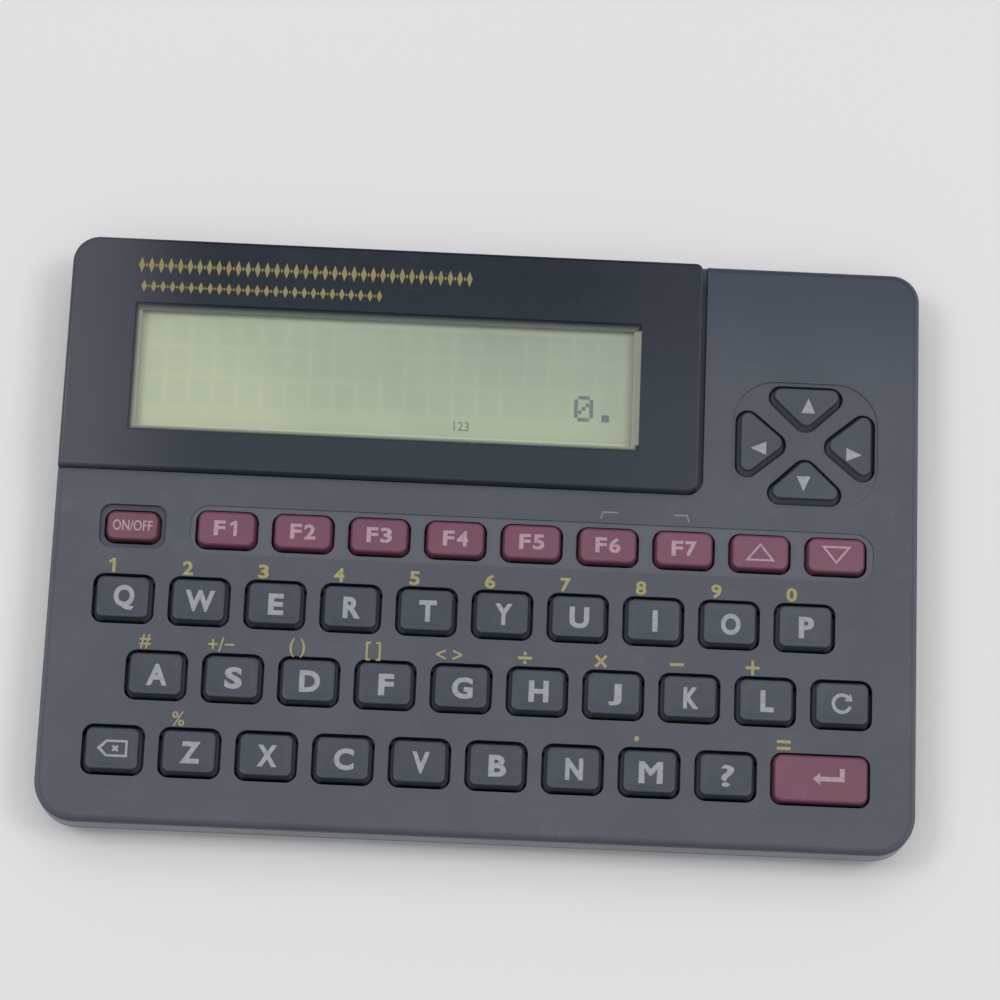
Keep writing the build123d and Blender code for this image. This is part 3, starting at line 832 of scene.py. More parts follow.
@dataclass(frozen=True)
class DrawnMetal:
    """Steel or nickel sheet with the fine lines of rolling or turning."""

    name: str
    colour: Colour
    roughness: float
    line_scale: float = 3000.0

    def build(self, shelf: EffectShelf) -> bpy.types.Material:
        """Makes the material, with shelf's effects."""
        material, wiring = new_material(self.name)
        stretched = wiring.node("ShaderNodeMapping", {"Vector": wiring.place(), "Scale": (0.03, 1.0, 1.0)})
        lines = wiring.noise(self.line_scale, 2.0, 0.6, stretched.outputs[0])
        smudge = shelf.use(wiring, Effect.SMUDGE, Amount=0.6)
        base = linear(self.colour)
        dull = tuple(part * 0.7 for part in base[:3]) + (1.0,)
        colour = wiring.blend(smudge.outputs["Mask"], base, dull)
        rough = wiring.ramp(lines, 0.3, 0.7, self.roughness - 0.06, self.roughness + 0.1)
        bump = wiring.node("ShaderNodeBump", {"Distance": 0.002 * MM, "Height": lines})
        wiring.finish(wiring.node("ShaderNodeBsdfPrincipled", {
            "Base Color": colour, "Roughness": rough, "Metallic": 1.0, "Normal": bump.outputs[0],
        }))
        return material


@dataclass(frozen=True)
class BoardLaminate:
    """Glass fibre board under green solder mask, with its copper tracks showing as paler lines."""

    name: str = "board_laminate"
    mask: Colour = (30, 84, 54)
    track: Colour = (52, 116, 74)

    def build(self, shelf: EffectShelf) -> bpy.types.Material:
        """Makes the material, with shelf's effects."""
        material, wiring = new_material(self.name)
        cells = wiring.node(
            "ShaderNodeTexVoronoi", {"Vector": wiring.place(), "Scale": 260.0, "Randomness": 0.55},
            distance="MANHATTAN",
        )
        lines = wiring.ramp(wiring.maths("PINGPONG", cells.outputs["Distance"], 0.16), 0.05, 0.09)
        weave = shelf.use(wiring, Effect.GRAIN, Scale=2600.0)
        colour = wiring.blend(lines, linear(self.mask), linear(self.track))
        colour = wiring.blend(wiring.ramp(weave.outputs["Height"], 0.4, 0.7, 0.0, 0.2), colour, linear((60, 110, 70)))
        bump = wiring.node("ShaderNodeBump", {"Distance": 0.02 * MM, "Height": lines})
        wiring.finish(wiring.node("ShaderNodeBsdfPrincipled", {
            "Base Color": colour, "Roughness": 0.35, "Normal": bump.outputs[0],
        }))
        return material


@dataclass
class Finishes:
    """Every material of the object, made once."""

    shelf: EffectShelf = field(default_factory=EffectShelf)
    power: bpy.types.Material = field(init=False)

    def __post_init__(self) -> None:
        """Makes the materials."""
        plastics = {
            Slot.CASE: CasePlastic("case_satin", (72, 77, 87), 0.52, wear_colour=(112, 116, 122)),
            Slot.PANEL: PanelPlastic(
                "panel_gloss", (15, 28, 41), 0.34, grain_depth=0.003, tone_drift=0.03, wear=0.3,
                wear_colour=(92, 96, 102), dust=0.12, smudge=0.5, hairline=0.12, specular=0.23,
            ),
            Slot.GREY_KEY: KeyPlastic(
                "key_grey_satin", (49, 58, 69), 0.42, grain_size=0.2, grain_depth=0.004, wear=0.35,
                wear_colour=(124, 130, 138), dust=0.12, smudge=0.5,
            ),
            Slot.MAROON_KEY: KeyPlastic(
                "key_maroon_satin", (109, 60, 81), 0.38, grain_size=0.2, grain_depth=0.004, wear=0.3,
                wear_colour=(160, 120, 134), dust=0.12, smudge=0.5, skirt_lift_colour=(136, 92, 108), skirt_lift=0.5,
            ),
            Slot.FRAME: MouldedPlastic("frame_natural", (190, 190, 182), 0.6, wear_colour=(214, 214, 208)),
            Slot.SILICONE: MouldedPlastic(
                "silicone_grey", (128, 130, 134), 0.7, wear=0.0, dust=0.3, grain_depth=0.003
            ),
            Slot.CHIP: MouldedPlastic("chip_black", (34, 34, 36), 0.55, wear_colour=(70, 70, 72)),
            Slot.FOOT: MouldedPlastic(
                "foot_black", (36, 36, 38), 0.8, grain_size=0.5, grain_depth=0.02, wear=0.4,
                wear_colour=(84, 84, 86), dust=0.5,
            ),
        }
        others = {
            Slot.WINDOW: ClearAcrylic(),
            Slot.GLASS: CrystalGlass(),
            Slot.BOARD: BoardLaminate(),
            Slot.CELL: DrawnMetal("cell_can", (205, 205, 204), 0.28),
            Slot.CONTACT: DrawnMetal("nickel_strip", (196, 190, 178), 0.3),
            Slot.SCREW: DrawnMetal("zinc_screw", (132, 132, 134), 0.38),
        }
        inks = {
            "key_ink": PrintedInk("key_ink", (156, 161, 168), (88, 94, 102), fading=0.4),
            "rose_ink": PrintedInk("rose_ink", (176, 150, 164), (126, 84, 100), fading=0.5),
            "gold_ink": PrintedInk("gold_ink", (163, 155, 98), (98, 100, 92), fading=0.45),
            "title_ink": PrintedInk("title_ink", (146, 134, 82), (58, 58, 56), fading=0.35),
            "pale_ink": PrintedInk("pale_ink", (128, 133, 140), (88, 92, 98), fading=0.5),
            "segment_ink": PrintedInk("segment_ink", (58, 72, 74), (120, 134, 122), fading=0.35),
            "idle_segment": CrystalGlass("idle_segment", green=(128, 145, 125), warm=(166, 179, 146)),
            # painted highlight: a pale strip along the lower edge of the liquid crystal glass
            "lcd_highlight_ink": PrintedInk("lcd_highlight_ink", (182, 192, 168), (160, 170, 146)),
        }
        self.by_slot = {slot: finish.build(self.shelf) for slot, finish in {**plastics, **others}.items()}
        # the power key's skirt is painted lighter to lift the shade of its well
        self.power = KeyPlastic(
            "power_maroon_satin", (105, 60, 77), 0.42, grain_size=0.2, grain_depth=0.004, wear=0.3,
            wear_colour=(150, 116, 130), dust=0.12, smudge=0.5, skirt_span=(11.5, 12.4), skirt_lift_colour=(120, 84, 98),
            skirt_lift=0.6,
        ).build(self.shelf)
        self.inks = {name: ink.build(self.shelf) for name, ink in inks.items()}


# ---------------------------------------------------------------------------------------------
# Printed marks
# ---------------------------------------------------------------------------------------------


@dataclass
class Print:
    """Flat marks of a given ink thickness, as text or as drawn shapes."""

    thickness: float = 0.02
    sunk: float = 0.008
    own_width: float = 0.92
    trial_letter: str = "H"
    letter_ratio: float = field(init=False)

    def __post_init__(self) -> None:
        """Measures how tall a capital letter of the built-in font is."""
        mesh = self.mesh_of(self.text_curve(self.trial_letter, 1.0))
        heights = [vertex.co.y for vertex in mesh.vertices]
        self.letter_ratio = max(heights) - min(heights)

    @staticmethod
    def text_curve(text: str, size: float) -> bpy.types.Curve:
        """Text as a curve about its own middle."""
        curve = bpy.data.curves.new("lettering", "FONT")
        curve.body = text
        curve.size = size
        curve.align_x, curve.align_y = "CENTER", "CENTER"
        curve.resolution_u = 4
        return curve

    @staticmethod
    def shape_curve(loops: Sequence[Sequence[Point]]) -> bpy.types.Curve:
        """Filled shape with the loops as its outlines, an inner one a hole."""
        curve = bpy.data.curves.new("shape", "CURVE")
        curve.dimensions = "2D"
        curve.fill_mode = "BOTH"
        for loop in loops:
            spline = curve.splines.new("POLY")
            spline.points.add(len(loop) - 1)
            for point, (x, y) in zip(spline.points, loop):
                point.co = (x, y, 0.0, 1.0)
            spline.use_cyclic_u = True
        return curve

    @staticmethod
    def mesh_of(curve: bpy.types.Curve, swell: float = 0.0) -> bpy.types.Mesh:
        """Closed mesh of a flat curve, which is then dropped.

        Args:
            curve: The curve.
            swell: How far its strokes grow to each side.

        Returns:
            The mesh, with some height.
        """
        curve.extrude = 0.01
        curve.bevel_depth = swell
        curve.bevel_resolution = 1
        holder = bpy.data.objects.new("holder", curve)
        bpy.context.scene.collection.objects.link(holder)
        graph = bpy.context.evaluated_depsgraph_get()
        mesh = bpy.data.meshes.new_from_object(holder.evaluated_get(graph))
        bpy.data.objects.remove(holder)
        bpy.data.curves.remove(curve)
        return mesh

    def lay(self, name: str, mesh: bpy.types.Mesh, placing: Placing, height: float,
            ink: bpy.types.Material) -> bpy.types.Object:
        """Lays a low mesh of millimetres on a level face, as thin ink.

        Args:
            name: The piece's name.
            mesh: Its mesh in its own plan.
            placing: Where the plan lies.
            height: Height of the face.
            ink: The ink's material.

        Returns:
            The new object.
        """
        top = max(vertex.co.z for vertex in mesh.vertices)
        for vertex in mesh.vertices:
            level = height - self.sunk + self.thickness * (vertex.co.z / top + 1) / 2
            vertex.co = placing.at((vertex.co.x, vertex.co.y), level)
        mesh.name = name
        return add_object(name, mesh, ink)

    def text(self, name: str, words: str, letter_height: float, placing: Placing, height: float,
             ink: bpy.types.Material, boldness: float = 0.03, width: float | None = None,
             fit_height: bool = False) -> bpy.types.Object:
        """Lays lettering on a level face.

        Args:
            name: The piece's name.
            words: What it says.
            letter_height: Height of a capital.
            placing: Its middle and turn.
            height: Height of the face.
            ink: The ink's material.
            boldness: How far the strokes swell, as a share of the letter's height.
            width: Width that it is stretched to, or nothing for the font's own.
            fit_height: Whether a sign with a tail is stretched to a capital's height too.

        Returns:
            The new object.
        """
        size = letter_height * (1 - 2 * boldness) / self.letter_ratio
        mesh = self.mesh_of(self.text_curve(words, size), boldness * letter_height)
        xs, ys = ([vertex.co[axis] for vertex in mesh.vertices] for axis in (0, 1))
        middle = Vector(((max(xs) + min(xs)) / 2, (max(ys) + min(ys)) / 2, 0.0))
        across = width / (max(xs) - min(xs)) if width else self.own_width
        along = letter_height / (max(ys) - min(ys)) if fit_height else 1.0
        for vertex in mesh.vertices:
            vertex.co = (vertex.co - middle) * Vector((across, along, 1.0))
        return self.lay(name, mesh, placing, height, ink)

    def shape(self, name: str, loops: Sequence[Sequence[Point]], placing: Placing, height: float,
              ink: bpy.types.Material) -> bpy.types.Object:
        """Lays a drawn shape on a level face, as thin ink."""
        return self.lay(name, self.mesh_of(self.shape_curve(loops)), placing, height, ink)


def bar(left: float, right: float, low: float, high: float) -> list[Point]:
    """Upright rectangle as a loop."""
    return [(left, low), (right, low), (right, high), (left, high)]


def figure_one(height: float) -> list[Point]:
    """Figure one with a flag, about its middle."""
    corners = ((0.0, -0.5), (0.22, -0.5), (0.22, 0.5), (0.04, 0.5), (-0.22, 0.33), (-0.22, 0.13), (0.0, 0.26))
    return [(x * height, y * height) for x, y in corners]


def lozenge(x: float, y: float, width: float, height: float) -> list[Point]:
    """Upright lozenge about a point."""
    return [(x, y - height / 2), (x + width / 2, y), (x, y + height / 2), (x - width / 2, y)]


def triangle(width: float, height: float, lift: float = 0.0) -> list[Point]:
    """Triangle that points up, about its middle height."""
    return [(-width / 2, lift - height / 2), (width / 2, lift - height / 2), (0.0, lift + height / 2)]


def hollow_triangle(width: float, height: float, line: float) -> list[list[Point]]:
    """Triangle drawn as a line of this width."""
    slope = math.hypot(height, width / 2) / (width / 2)
    inner_low = -height / 2 + line
    inner_top = height / 2 - line * slope
    reach = (inner_top - inner_low) * width / 2 / height
    return [triangle(width, height), [(-reach, inner_low), (reach, inner_low), (0.0, inner_top)]]


def symbol_loops(symbol: Symbol, size: float) -> list[list[Point]]:
    """Outlines of a key's symbol.

    Args:
        symbol: Which one.
        size: Its width.

    Returns:
        The loops, about the origin.
    """
    line = size * 0.075
    if symbol is Symbol.TRIANGLE_UP:
        return hollow_triangle(size, size * 0.62, line * 0.9)
    if symbol is Symbol.TRIANGLE_DOWN:
        return [[(x, -y) for x, y in reversed(loop)] for loop in symbol_loops(Symbol.TRIANGLE_UP, size)]
    if symbol is Symbol.RETURN:
        head, rise = size * 0.24, size * 0.34
        return [[
            (-size / 2, 0.0), (-size / 2 + head, -head * 0.8), (-size / 2 + head, -line),
            (size / 2, -line), (size / 2, rise), (size / 2 - 2 * line, rise),
            (size / 2 - 2 * line, line), (-size / 2 + head, line), (-size / 2 + head, head * 0.8),
        ]]
    if symbol is Symbol.RUB_OUT:
        half, tip = size * 0.28, size * 0.3
        outer = [(-size / 2, 0.0), (-size / 2 + tip, -half), (size / 2, -half), (size / 2, half), (-size / 2 + tip, half)]
        inner = [
            (-size / 2 + 1.9 * line, 0.0), (-size / 2 + tip + line * 0.4, -half + line),
            (size / 2 - line, -half + line), (size / 2 - line, half - line), (-size / 2 + tip + line * 0.4, half - line),
        ]
        arm, thick = size * 0.12, line * 0.55
        cross = []
        for quarter in range(4):
            angle = math.radians(45 + 90 * quarter)
            along = Vector((math.cos(angle), math.sin(angle)))
            across = Vector((-along.y, along.x))
            corner = (along - across) * thick
            for place in (corner, along * arm - across * thick, along * arm + across * thick):
                cross.append((place.x + size * 0.1, place.y))
        return [outer, inner, cross]
    # an open ring with an arrow head at its end
    outer_radius, inner_radius = size * 0.36, size * 0.36 - 1.6 * line
    start, end, parts = math.radians(50), math.radians(340), 20
    angles = [start + (end - start) * part / parts for part in range(parts + 1)]
    ring = [(outer_radius * math.cos(angle), outer_radius * math.sin(angle)) for angle in angles]
    ring += [(inner_radius * math.cos(angle), inner_radius * math.sin(angle)) for angle in reversed(angles)]
    middle = (outer_radius + inner_radius) / 2
    head = size * 0.17
    tip = Vector((math.cos(start), math.sin(start))) * middle
    back = Vector((-math.sin(start), math.cos(start)))
    out = Vector((math.cos(start), math.sin(start)))
    corners = (tip - back * head * 1.3, tip + out * head, tip - out * head)
    return [ring, [(place.x, place.y) for place in corners]]


# ---------------------------------------------------------------------------------------------
# Sub-assemblies
# ---------------------------------------------------------------------------------------------


@dataclass
class Studio:
    """Floor, lamps, surroundings and the camera."""

    lens: float = 126.0
    sensor: float = 36.0
    camera_place: tuple[float, float, float] = (-5.362, -145.328, 550.611)
    camera_turns: tuple[float, float, float] = (-0.7746, 15.7622, 2.3415)
    floor_reach: float = 3000.0
    floor_colour: Colour = (233, 233, 233)
    overhead: float = 1.42
    horizon: float = 0.24
    sky_span: Point = (0.6, 0.98)
    lamp_power: float = 2.05
    lamp_size: float = 300.0
    lamp_place: tuple[float, float, float] = (530.0, 0.0, 1080.0)

    def build(self) -> None:
        """Sets the studio up."""
        self.set_camera()
        self.lay_floor()
        x, y, z = self.lamp_place
        self.hang_lamp("right_softbox", (x, y, z), self.lamp_size, self.lamp_power)
        self.hang_lamp("left_softbox", (-x, y, z), self.lamp_size, self.lamp_power)
        self.surroundings()
        bpy.context.scene.view_settings.view_transform = "Standard"

    def set_camera(self) -> None:
        """Puts the camera at the photograph's viewing angle."""
        data = bpy.data.cameras.new("view")
        data.lens, data.sensor_width = self.lens, self.sensor
        data.clip_start, data.clip_end = 0.01, 20.0
        camera = bpy.data.objects.new("view", data)
        bpy.context.scene.collection.objects.link(camera)
        roll, tilt, pan = (math.radians(angle) for angle in self.camera_turns)
        turns = Matrix.Rotation(roll, 4, "Y") @ Matrix.Rotation(tilt, 4, "X") @ Matrix.Rotation(pan, 4, "Z")
        camera.matrix_world = Matrix.Translation(Vector(self.camera_place) * MM) @ turns
        bpy.context.scene.camera = camera

    def lay_floor(self) -> None:
        """Lays the pale table top."""
        body = bmesh.new()
        bmesh.ops.create_grid(body, x_segments=2, y_segments=2, size=self.floor_reach * MM)
        mesh = bpy.data.meshes.new("table_top")
        body.to_mesh(mesh)
        body.free()
        material, wiring = new_material("table_paper")
        drift = wiring.ramp(wiring.noise(4.0, 2.0), 0.3, 0.7, 0.0, 0.25)
        darker = tuple(part - 5 for part in self.floor_colour)
        colour = wiring.blend(drift, linear(self.floor_colour), linear(darker))
        wiring.finish(wiring.node("ShaderNodeBsdfPrincipled", {
            "Base Color": colour, "Roughness": 0.8, "Specular IOR Level": 0.1,
        }))
        add_object("table_top", mesh, material)

    def hang_lamp(self, name: str, place: Sequence[float], size: float, power: float) -> None:
        """Hangs a square soft lamp that faces the object.

        Args:
            name: Its name.
            place: Where it hangs.
            size: Side of the square.
            power: Its power in watts.
        """
        data = bpy.data.lights.new(name, "AREA")
        data.size, data.energy = size * MM, power
        lamp = bpy.data.objects.new(name, data)
        lamp.location = Vector(place) * MM
        lamp.rotation_euler = (-lamp.location).to_track_quat("-Z", "Y").to_euler()
        bpy.context.scene.collection.objects.link(lamp)

    def surroundings(self) -> None:
        """Fills the room with pale light, stronger overhead, shown as a plain pale ground."""
        world = bpy.data.worlds.new("room")
        bpy.context.scene.world = world
        world.use_nodes = True
        wiring = Wiring(world.node_tree)
        rays = wiring.node("ShaderNodeLightPath")
        seen = wiring.maths("MAXIMUM", rays.outputs["Is Camera Ray"], rays.outputs["Is Transmission Ray"])
        ground = linear(self.floor_colour)
        sky = wiring.node("ShaderNodeSeparateXYZ", {0: wiring.node("ShaderNodeTexCoord").outputs["Generated"]})
        level = wiring.ramp(sky.outputs["Z"], *self.sky_span, self.horizon, self.overhead)
        light = wiring.node("ShaderNodeBackground", {"Color": (1.0, 1.0, 1.0, 1.0), "Strength": level})
        shown = wiring.node("ShaderNodeBackground", {"Color": ground, "Strength": 1.0})
        mixed = wiring.node("ShaderNodeMixShader", {0: seen, 1: light.outputs[0], 2: shown.outputs[0]})
        wiring.node("ShaderNodeOutputWorld", {"Surface": mixed.outputs[0]})


@dataclass
class CaseParts:
    """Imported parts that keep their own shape: their edges are eased and their finish is set."""

    finishes: Finishes
    body: str = "case"
    edge: float = 0.16
    small_edge: float = 0.08
    sharpest: float = 35.0
    flat_within: float = 0.5
    weld: float = 0.002

    def ease(self, node: str, width: float) -> None:
        """Rounds a part's sharp edges and smooths its shading.

        Args:
            node: The part.
            width: Width of the rounding.
        """
        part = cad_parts[node]
        weld = part.modifiers.new("weld", "WELD")
        weld.merge_threshold = self.weld * MM
        flatten = part.modifiers.new("flatten", "DECIMATE")
        flatten.decimate_type = "DISSOLVE"
        flatten.angle_limit = math.radians(self.flat_within)
        bevel = part.modifiers.new("ease", "BEVEL")
        bevel.width = width * MM
        bevel.segments = 2
        bevel.limit_method = "ANGLE"
        bevel.angle_limit = math.radians(self.sharpest)
        weigh_normals(part)

    def dress(self, node: str, slot: Slot, width: float) -> None:
        """Gives a part its material and eased edges."""
        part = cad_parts[node]
        part.data.materials.clear()
        part.data.materials.append(self.finishes.by_slot[slot])
        self.ease(node, width)
        log.info("part %s dressed as %s", node, slot.value)

    def build(self) -> None:
        """Dresses every part that stays."""
        plan = {
            "top_case": (Slot.CASE, self.edge),
            "bottom_case": (Slot.CASE, self.edge),
            "battery_cover": (Slot.CASE, self.small_edge),
            "display_bezel": (Slot.PANEL, self.edge),
            "display_window": (Slot.WINDOW, self.small_edge),
            "lcd_panel": (Slot.GLASS, self.small_edge),
            "lcd_frame": (Slot.FRAME, self.small_edge),
            "lcd_connector": (Slot.SILICONE, self.small_edge),
            "main_board": (Slot.BOARD, self.small_edge),
            "chips": (Slot.CHIP, self.small_edge),
            "key_mat": (Slot.SILICONE, self.small_edge),
            "coin_cells": (Slot.CELL, self.small_edge),
            "battery_contacts": (Slot.CONTACT, 0.02),
            "screws": (Slot.SCREW, self.small_edge),
            "rubber_feet": (Slot.FOOT, self.edge),
        }
        for node, (slot, width) in plan.items():
            self.dress(node, slot, width)


@dataclass
class Keypad:
    """Caps of all the keys and what is printed on them and beside them."""

    finishes: Finishes
    printing: Print
    lug_thickness: float = 0.75
    lug_overhang: float = 0.75
    corner: float = 1.6
    rim_steps: int = 4
    dish: float = 0.07
    dish_reach: float = 1.1
    dish_steps: int = 4
    dish_corner: float = 1.1
    letter_cap: CapForm = CapForm(draft=0.62, rim=0.25)
    function_cap: CapForm = CapForm(draft=0.3, rim=0.45)
    pad_centre: Point = (50.65, 18.05)
    cursor_gap: float = 0.2
    cursor_lug: float = 0.55
    cursor_wide: tuple[float, float, float] = (9.0, 8.6, 10.0)
    cursor_tall: tuple[float, float, float] = (7.93, 9.5, 11.3)
    cursor_tip: float = 2.2
    cursor_corner: float = 2.0
    cursor_mark: Point = (2.2, 2.5)
    letter_height: float = 3.5
    letter_shift: Point = (0.2, -0.15)
    letter_boldness: float = 0.055
    query_boldness: float = 0.02
    # letters that share a width, and that width
    letter_widths: tuple[tuple[str, float], ...] = (
        ("I", 0.85), ("LJ?", 2.15), ("EFPK", 2.45), ("RTYSVBN", 2.8), ("UOHZXC", 3.15), ("QADG", 3.3),
        ("M", 3.8), ("W", 4.7),
    )
    function_height: float = 2.5
    pair_half: float = 1.1
    gold_height: float = 2.3
    gold_offset: Point = (-2.1, 5.4)
    digit_width: float = 1.7
    digit_boldness: float = 0.045
    maths_height: float = 3.4

    def cap_rings(self, outline: Outline, lug: Outline, placing: Placing, span: Point, form: CapForm,
                  dish: float) -> list[list[Vector]]:
        """Rings of a drafted cap over its lug plate.

        Args:
            outline: The cap's outline at its foot.
            lug: The lug plate's outline.
            placing: Where both lie.
            span: Height of the plate's underside and of the cap's top.
            form: Draft and rim of the cap.
            dish: How far the middle of the top is sunk.

        Returns:
            The rings from the lowest to the highest.
        """
        low, high = span
        slope = form.draft / (high - low)
        shoulder = low + self.lug_thickness
        plan = [(lug.ring(), low), (lug.ring(), shoulder), (outline.ring(self.lug_thickness * slope), shoulder)]
        for step in range(self.rim_steps + 1):
            angle = math.pi / 2 * step / self.rim_steps
            height = high - form.rim * (1 - math.sin(angle))
            inset = (height - low) * slope + form.rim * (1 - math.cos(angle))
            plan.append((outline.ring(inset), height))
        for step in range(1, self.dish_steps + 1 if dish else 1):
            share = step / self.dish_steps
            inset = form.draft + form.rim + self.dish_reach * share
            sunk = dish * share * share * (3 - 2 * share)
            plan.append((outline.ring(inset, self.dish_corner), high - sunk))
        return [[placing.at(point, height) for point in points] for points, height in plan]

    def add_cap(self, node: str, rings: Sequence[Sequence[Vector]], slot: Slot) -> None:
        """Adds a cap that stands for the key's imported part."""
        cap = loft(f"cap_{node}", rings, self.finishes.by_slot[slot])
        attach(cap, node)
        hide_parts(node)
        log.info("cap %s built", node)

    def square_cap(self, node: str, slot: Slot, form: CapForm, dish: float) -> tuple[Point, float]:
        """Adds a rectangular key.

        Args:
            node: The key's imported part.
            slot: Its material slot.
            form: Draft and rim of the cap.
            dish: Depth of its dish.

        Returns:
            The cap's middle and the height of the face for print.
        """
        low, high = box_mm(node)
        centre = ((low.x + high.x) / 2, (low.y + high.y) / 2)
        width, depth = high.x - low.x, high.y - low.y
        outline = Outline.box((0.0, 0.0), (width - 2 * self.lug_overhang, depth), self.corner)
        lug = Outline.box((0.0, 0.0), (width, depth - 2 * self.corner), 0.1)
        self.add_cap(node, self.cap_rings(outline, lug, Placing(centre), (low.z, high.z), form, dish), slot)
        return centre, high.z - dish

    def cursor_cap(self, node: str, turn: Turn, form: tuple[float, float, float]) -> float:
        """Adds a three-cornered key of the cursor pad.

        Args:
            node: The key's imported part.
            turn: Its turn about the pad.
            form: Half its outer edge, its rise to the sharp tip, the outer edge's distance.

        Returns:
            The height of its top.
        """
        half_edge, rise, reach = form
        opening = Outline((
            (half_edge, reach, self.cursor_corner),
            (-half_edge, reach, self.cursor_corner),
            (0.0, reach - rise, self.cursor_tip),
        ))
        low, high = box_mm(node)
        rings = self.cap_rings(
            opening.inset(self.cursor_gap), opening.inset(-self.cursor_lug),
            Placing(self.pad_centre, turn.value), (low.z, high.z), self.letter_cap, 0.0,
        )
        self.add_cap(node, rings, Slot.GREY_KEY)
        return high.z

    def build(self) -> None:
        """Builds every key and its print."""
        self.letters()
        self.functions()
        self.cursor()
        self.gold_marks()

    def mark(self, piece: bpy.types.Object, body: str) -> None:
        """Lets a printed mark ride with a body."""
        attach(piece, body)

    def sign(self, name: str, sign: str, height: float, placing: Placing, face: float,
             ink: bpy.types.Material) -> bpy.types.Object:
        """Lays one bold digit or letter, the figure one with its flag.

        Args:
            name: The piece's name.
            sign: The digit or letter.
            height: Its height.
            placing: Its middle.
            face: Height of the face under it.
            ink: The ink's material.

        Returns:
            The new object.
        """
        if sign == "1":
            return self.printing.shape(name, [figure_one(height)], placing, face, ink)
        width = self.digit_width * height / self.gold_height
        return self.printing.text(name, sign, height, placing, face, ink, self.digit_boldness, width, True)

    def letters(self) -> None:
        """Letter keys and the other grey keys of their size."""
        ink = self.finishes.inks["key_ink"]
        widths = {sign: width for signs, width in self.letter_widths for sign in signs}
        signs = {f"letter_key_{sign.lower()}": sign for sign in widths if sign != "?"}
        signs["query_key"] = "?"
        for node, sign in signs.items():
            centre, top = self.square_cap(node, Slot.GREY_KEY, self.letter_cap, self.dish)
            place = Placing((centre[0] + self.letter_shift[0], centre[1] + self.letter_shift[1]))
            boldness = self.query_boldness if sign == "?" else self.letter_boldness
            piece = self.printing.text(
                f"print_{node}", sign, self.letter_height, place, top, ink, boldness, widths[sign], sign != "Q"
            )
            self.mark(piece, node)
        for node, symbol, size in (("clear_key", Symbol.RUB_OUT, 4.8), ("recall_key", Symbol.REPEAT, 4.6)):
            centre, top = self.square_cap(node, Slot.GREY_KEY, self.letter_cap, self.dish)
            piece = self.printing.shape(f"print_{node}", symbol_loops(symbol, size), Placing(centre), top, ink)
            self.mark(piece, node)

    def functions(self) -> None:
        """Maroon keys: power, function, scroll and enter."""
        ink = self.finishes.inks["rose_ink"]
        centre, top = self.square_cap("power_key", Slot.MAROON_KEY, self.function_cap, 0.0)
        power_cap = bpy.data.objects["cap_power_key"]
        power_cap.data.materials[0] = self.finishes.power
        self.mark(self.printing.text("print_power", "ON/OFF", 1.7, Placing(centre), top, ink, 0.02, 6.3), "power_key")
        for number in range(1, 8):
            node = f"function_key_{number}"
            centre, top = self.square_cap(node, Slot.MAROON_KEY, self.function_cap, 0.0)
            for aside, sign in ((-self.pair_half, "F"), (self.pair_half, str(number))):
                place = Placing((centre[0] + aside, centre[1]))
                self.mark(self.sign(f"print_{node}_{sign}", sign, self.function_height, place, top, ink), node)
        for node, symbol in (("scroll_up_key", Symbol.TRIANGLE_UP), ("scroll_down_key", Symbol.TRIANGLE_DOWN)):
            centre, top = self.square_cap(node, Slot.MAROON_KEY, self.function_cap, 0.0)
            piece = self.printing.shape(f"print_{node}", symbol_loops(symbol, 4.8), Placing(centre), top, ink)
            self.mark(piece, node)
        centre, top = self.square_cap("enter_key", Slot.MAROON_KEY, self.function_cap, 0.0)
        place = Placing((centre[0] + 1.2, centre[1]))
        self.mark(self.printing.shape("print_enter", symbol_loops(Symbol.RETURN, 5.0), place, top, ink), "enter_key")

    def cursor(self) -> None:
        """Cursor keys, each with a filled triangle that points its way."""
        ink = self.finishes.inks["key_ink"]
        plan = (
            ("cursor_up_key", Turn.UP, self.cursor_wide, (0.3, 6.35)),
            ("cursor_down_key", Turn.DOWN, self.cursor_wide, (0.3, 6.75)),
            ("cursor_left_key", Turn.LEFT, self.cursor_tall, (-1.1, 7.65)),
            ("cursor_right_key", Turn.RIGHT, self.cursor_tall, (1.55, 7.75)),
        )
        for node, turn, form, (aside, out) in plan:
            top = self.cursor_cap(node, turn, form)
            placing = Placing(self.pad_centre, turn.value)
            loop = [(x + aside, y + out) for x, y in triangle(*self.cursor_mark)]
            self.mark(self.printing.shape(f"print_{node}", [loop], placing, top, ink), node)

    def gold_marks(self) -> None:
        """Gold digits and maths signs on the case, above the keys."""
        ink = self.finishes.inks["gold_ink"]
        rows = (("qwertyuiop", "1234567890"), ("asdfghjkl", ("#", "+/−", "( )", "[ ]", "< >", "÷", "×", "−", "+")),
                ("z", "%"), ("m", "•"))
        face = box_mm("top_case")[1].z
        for letters, signs in rows:
            for letter, sign in zip(letters, signs):
                low, high = box_mm(f"letter_key_{letter}")
                middle = ((low.x + high.x) / 2 + self.gold_offset[0], (low.y + high.y) / 2 + self.gold_offset[1])
                name, place = f"gold_{letter}", Placing(middle)
                if sign.isdigit():
                    piece = self.sign(name, sign, self.gold_height, place, face, ink)
                else:
                    height = self.maths_height if sign in "÷×−+" else self.gold_height
                    piece = self.printing.text(name, sign, height, place, face, ink, 0.012)
                self.mark(piece, "case")
        low, high = box_mm("enter_key")
        x, y = (low.x + high.x) / 2 - 5.8, (low.y + high.y) / 2 + self.gold_offset[1]
        equals = self.printing.text("gold_equals", "=", self.maths_height, Placing((x, y)), face, ink, 0.012)
        self.mark(equals, "case")


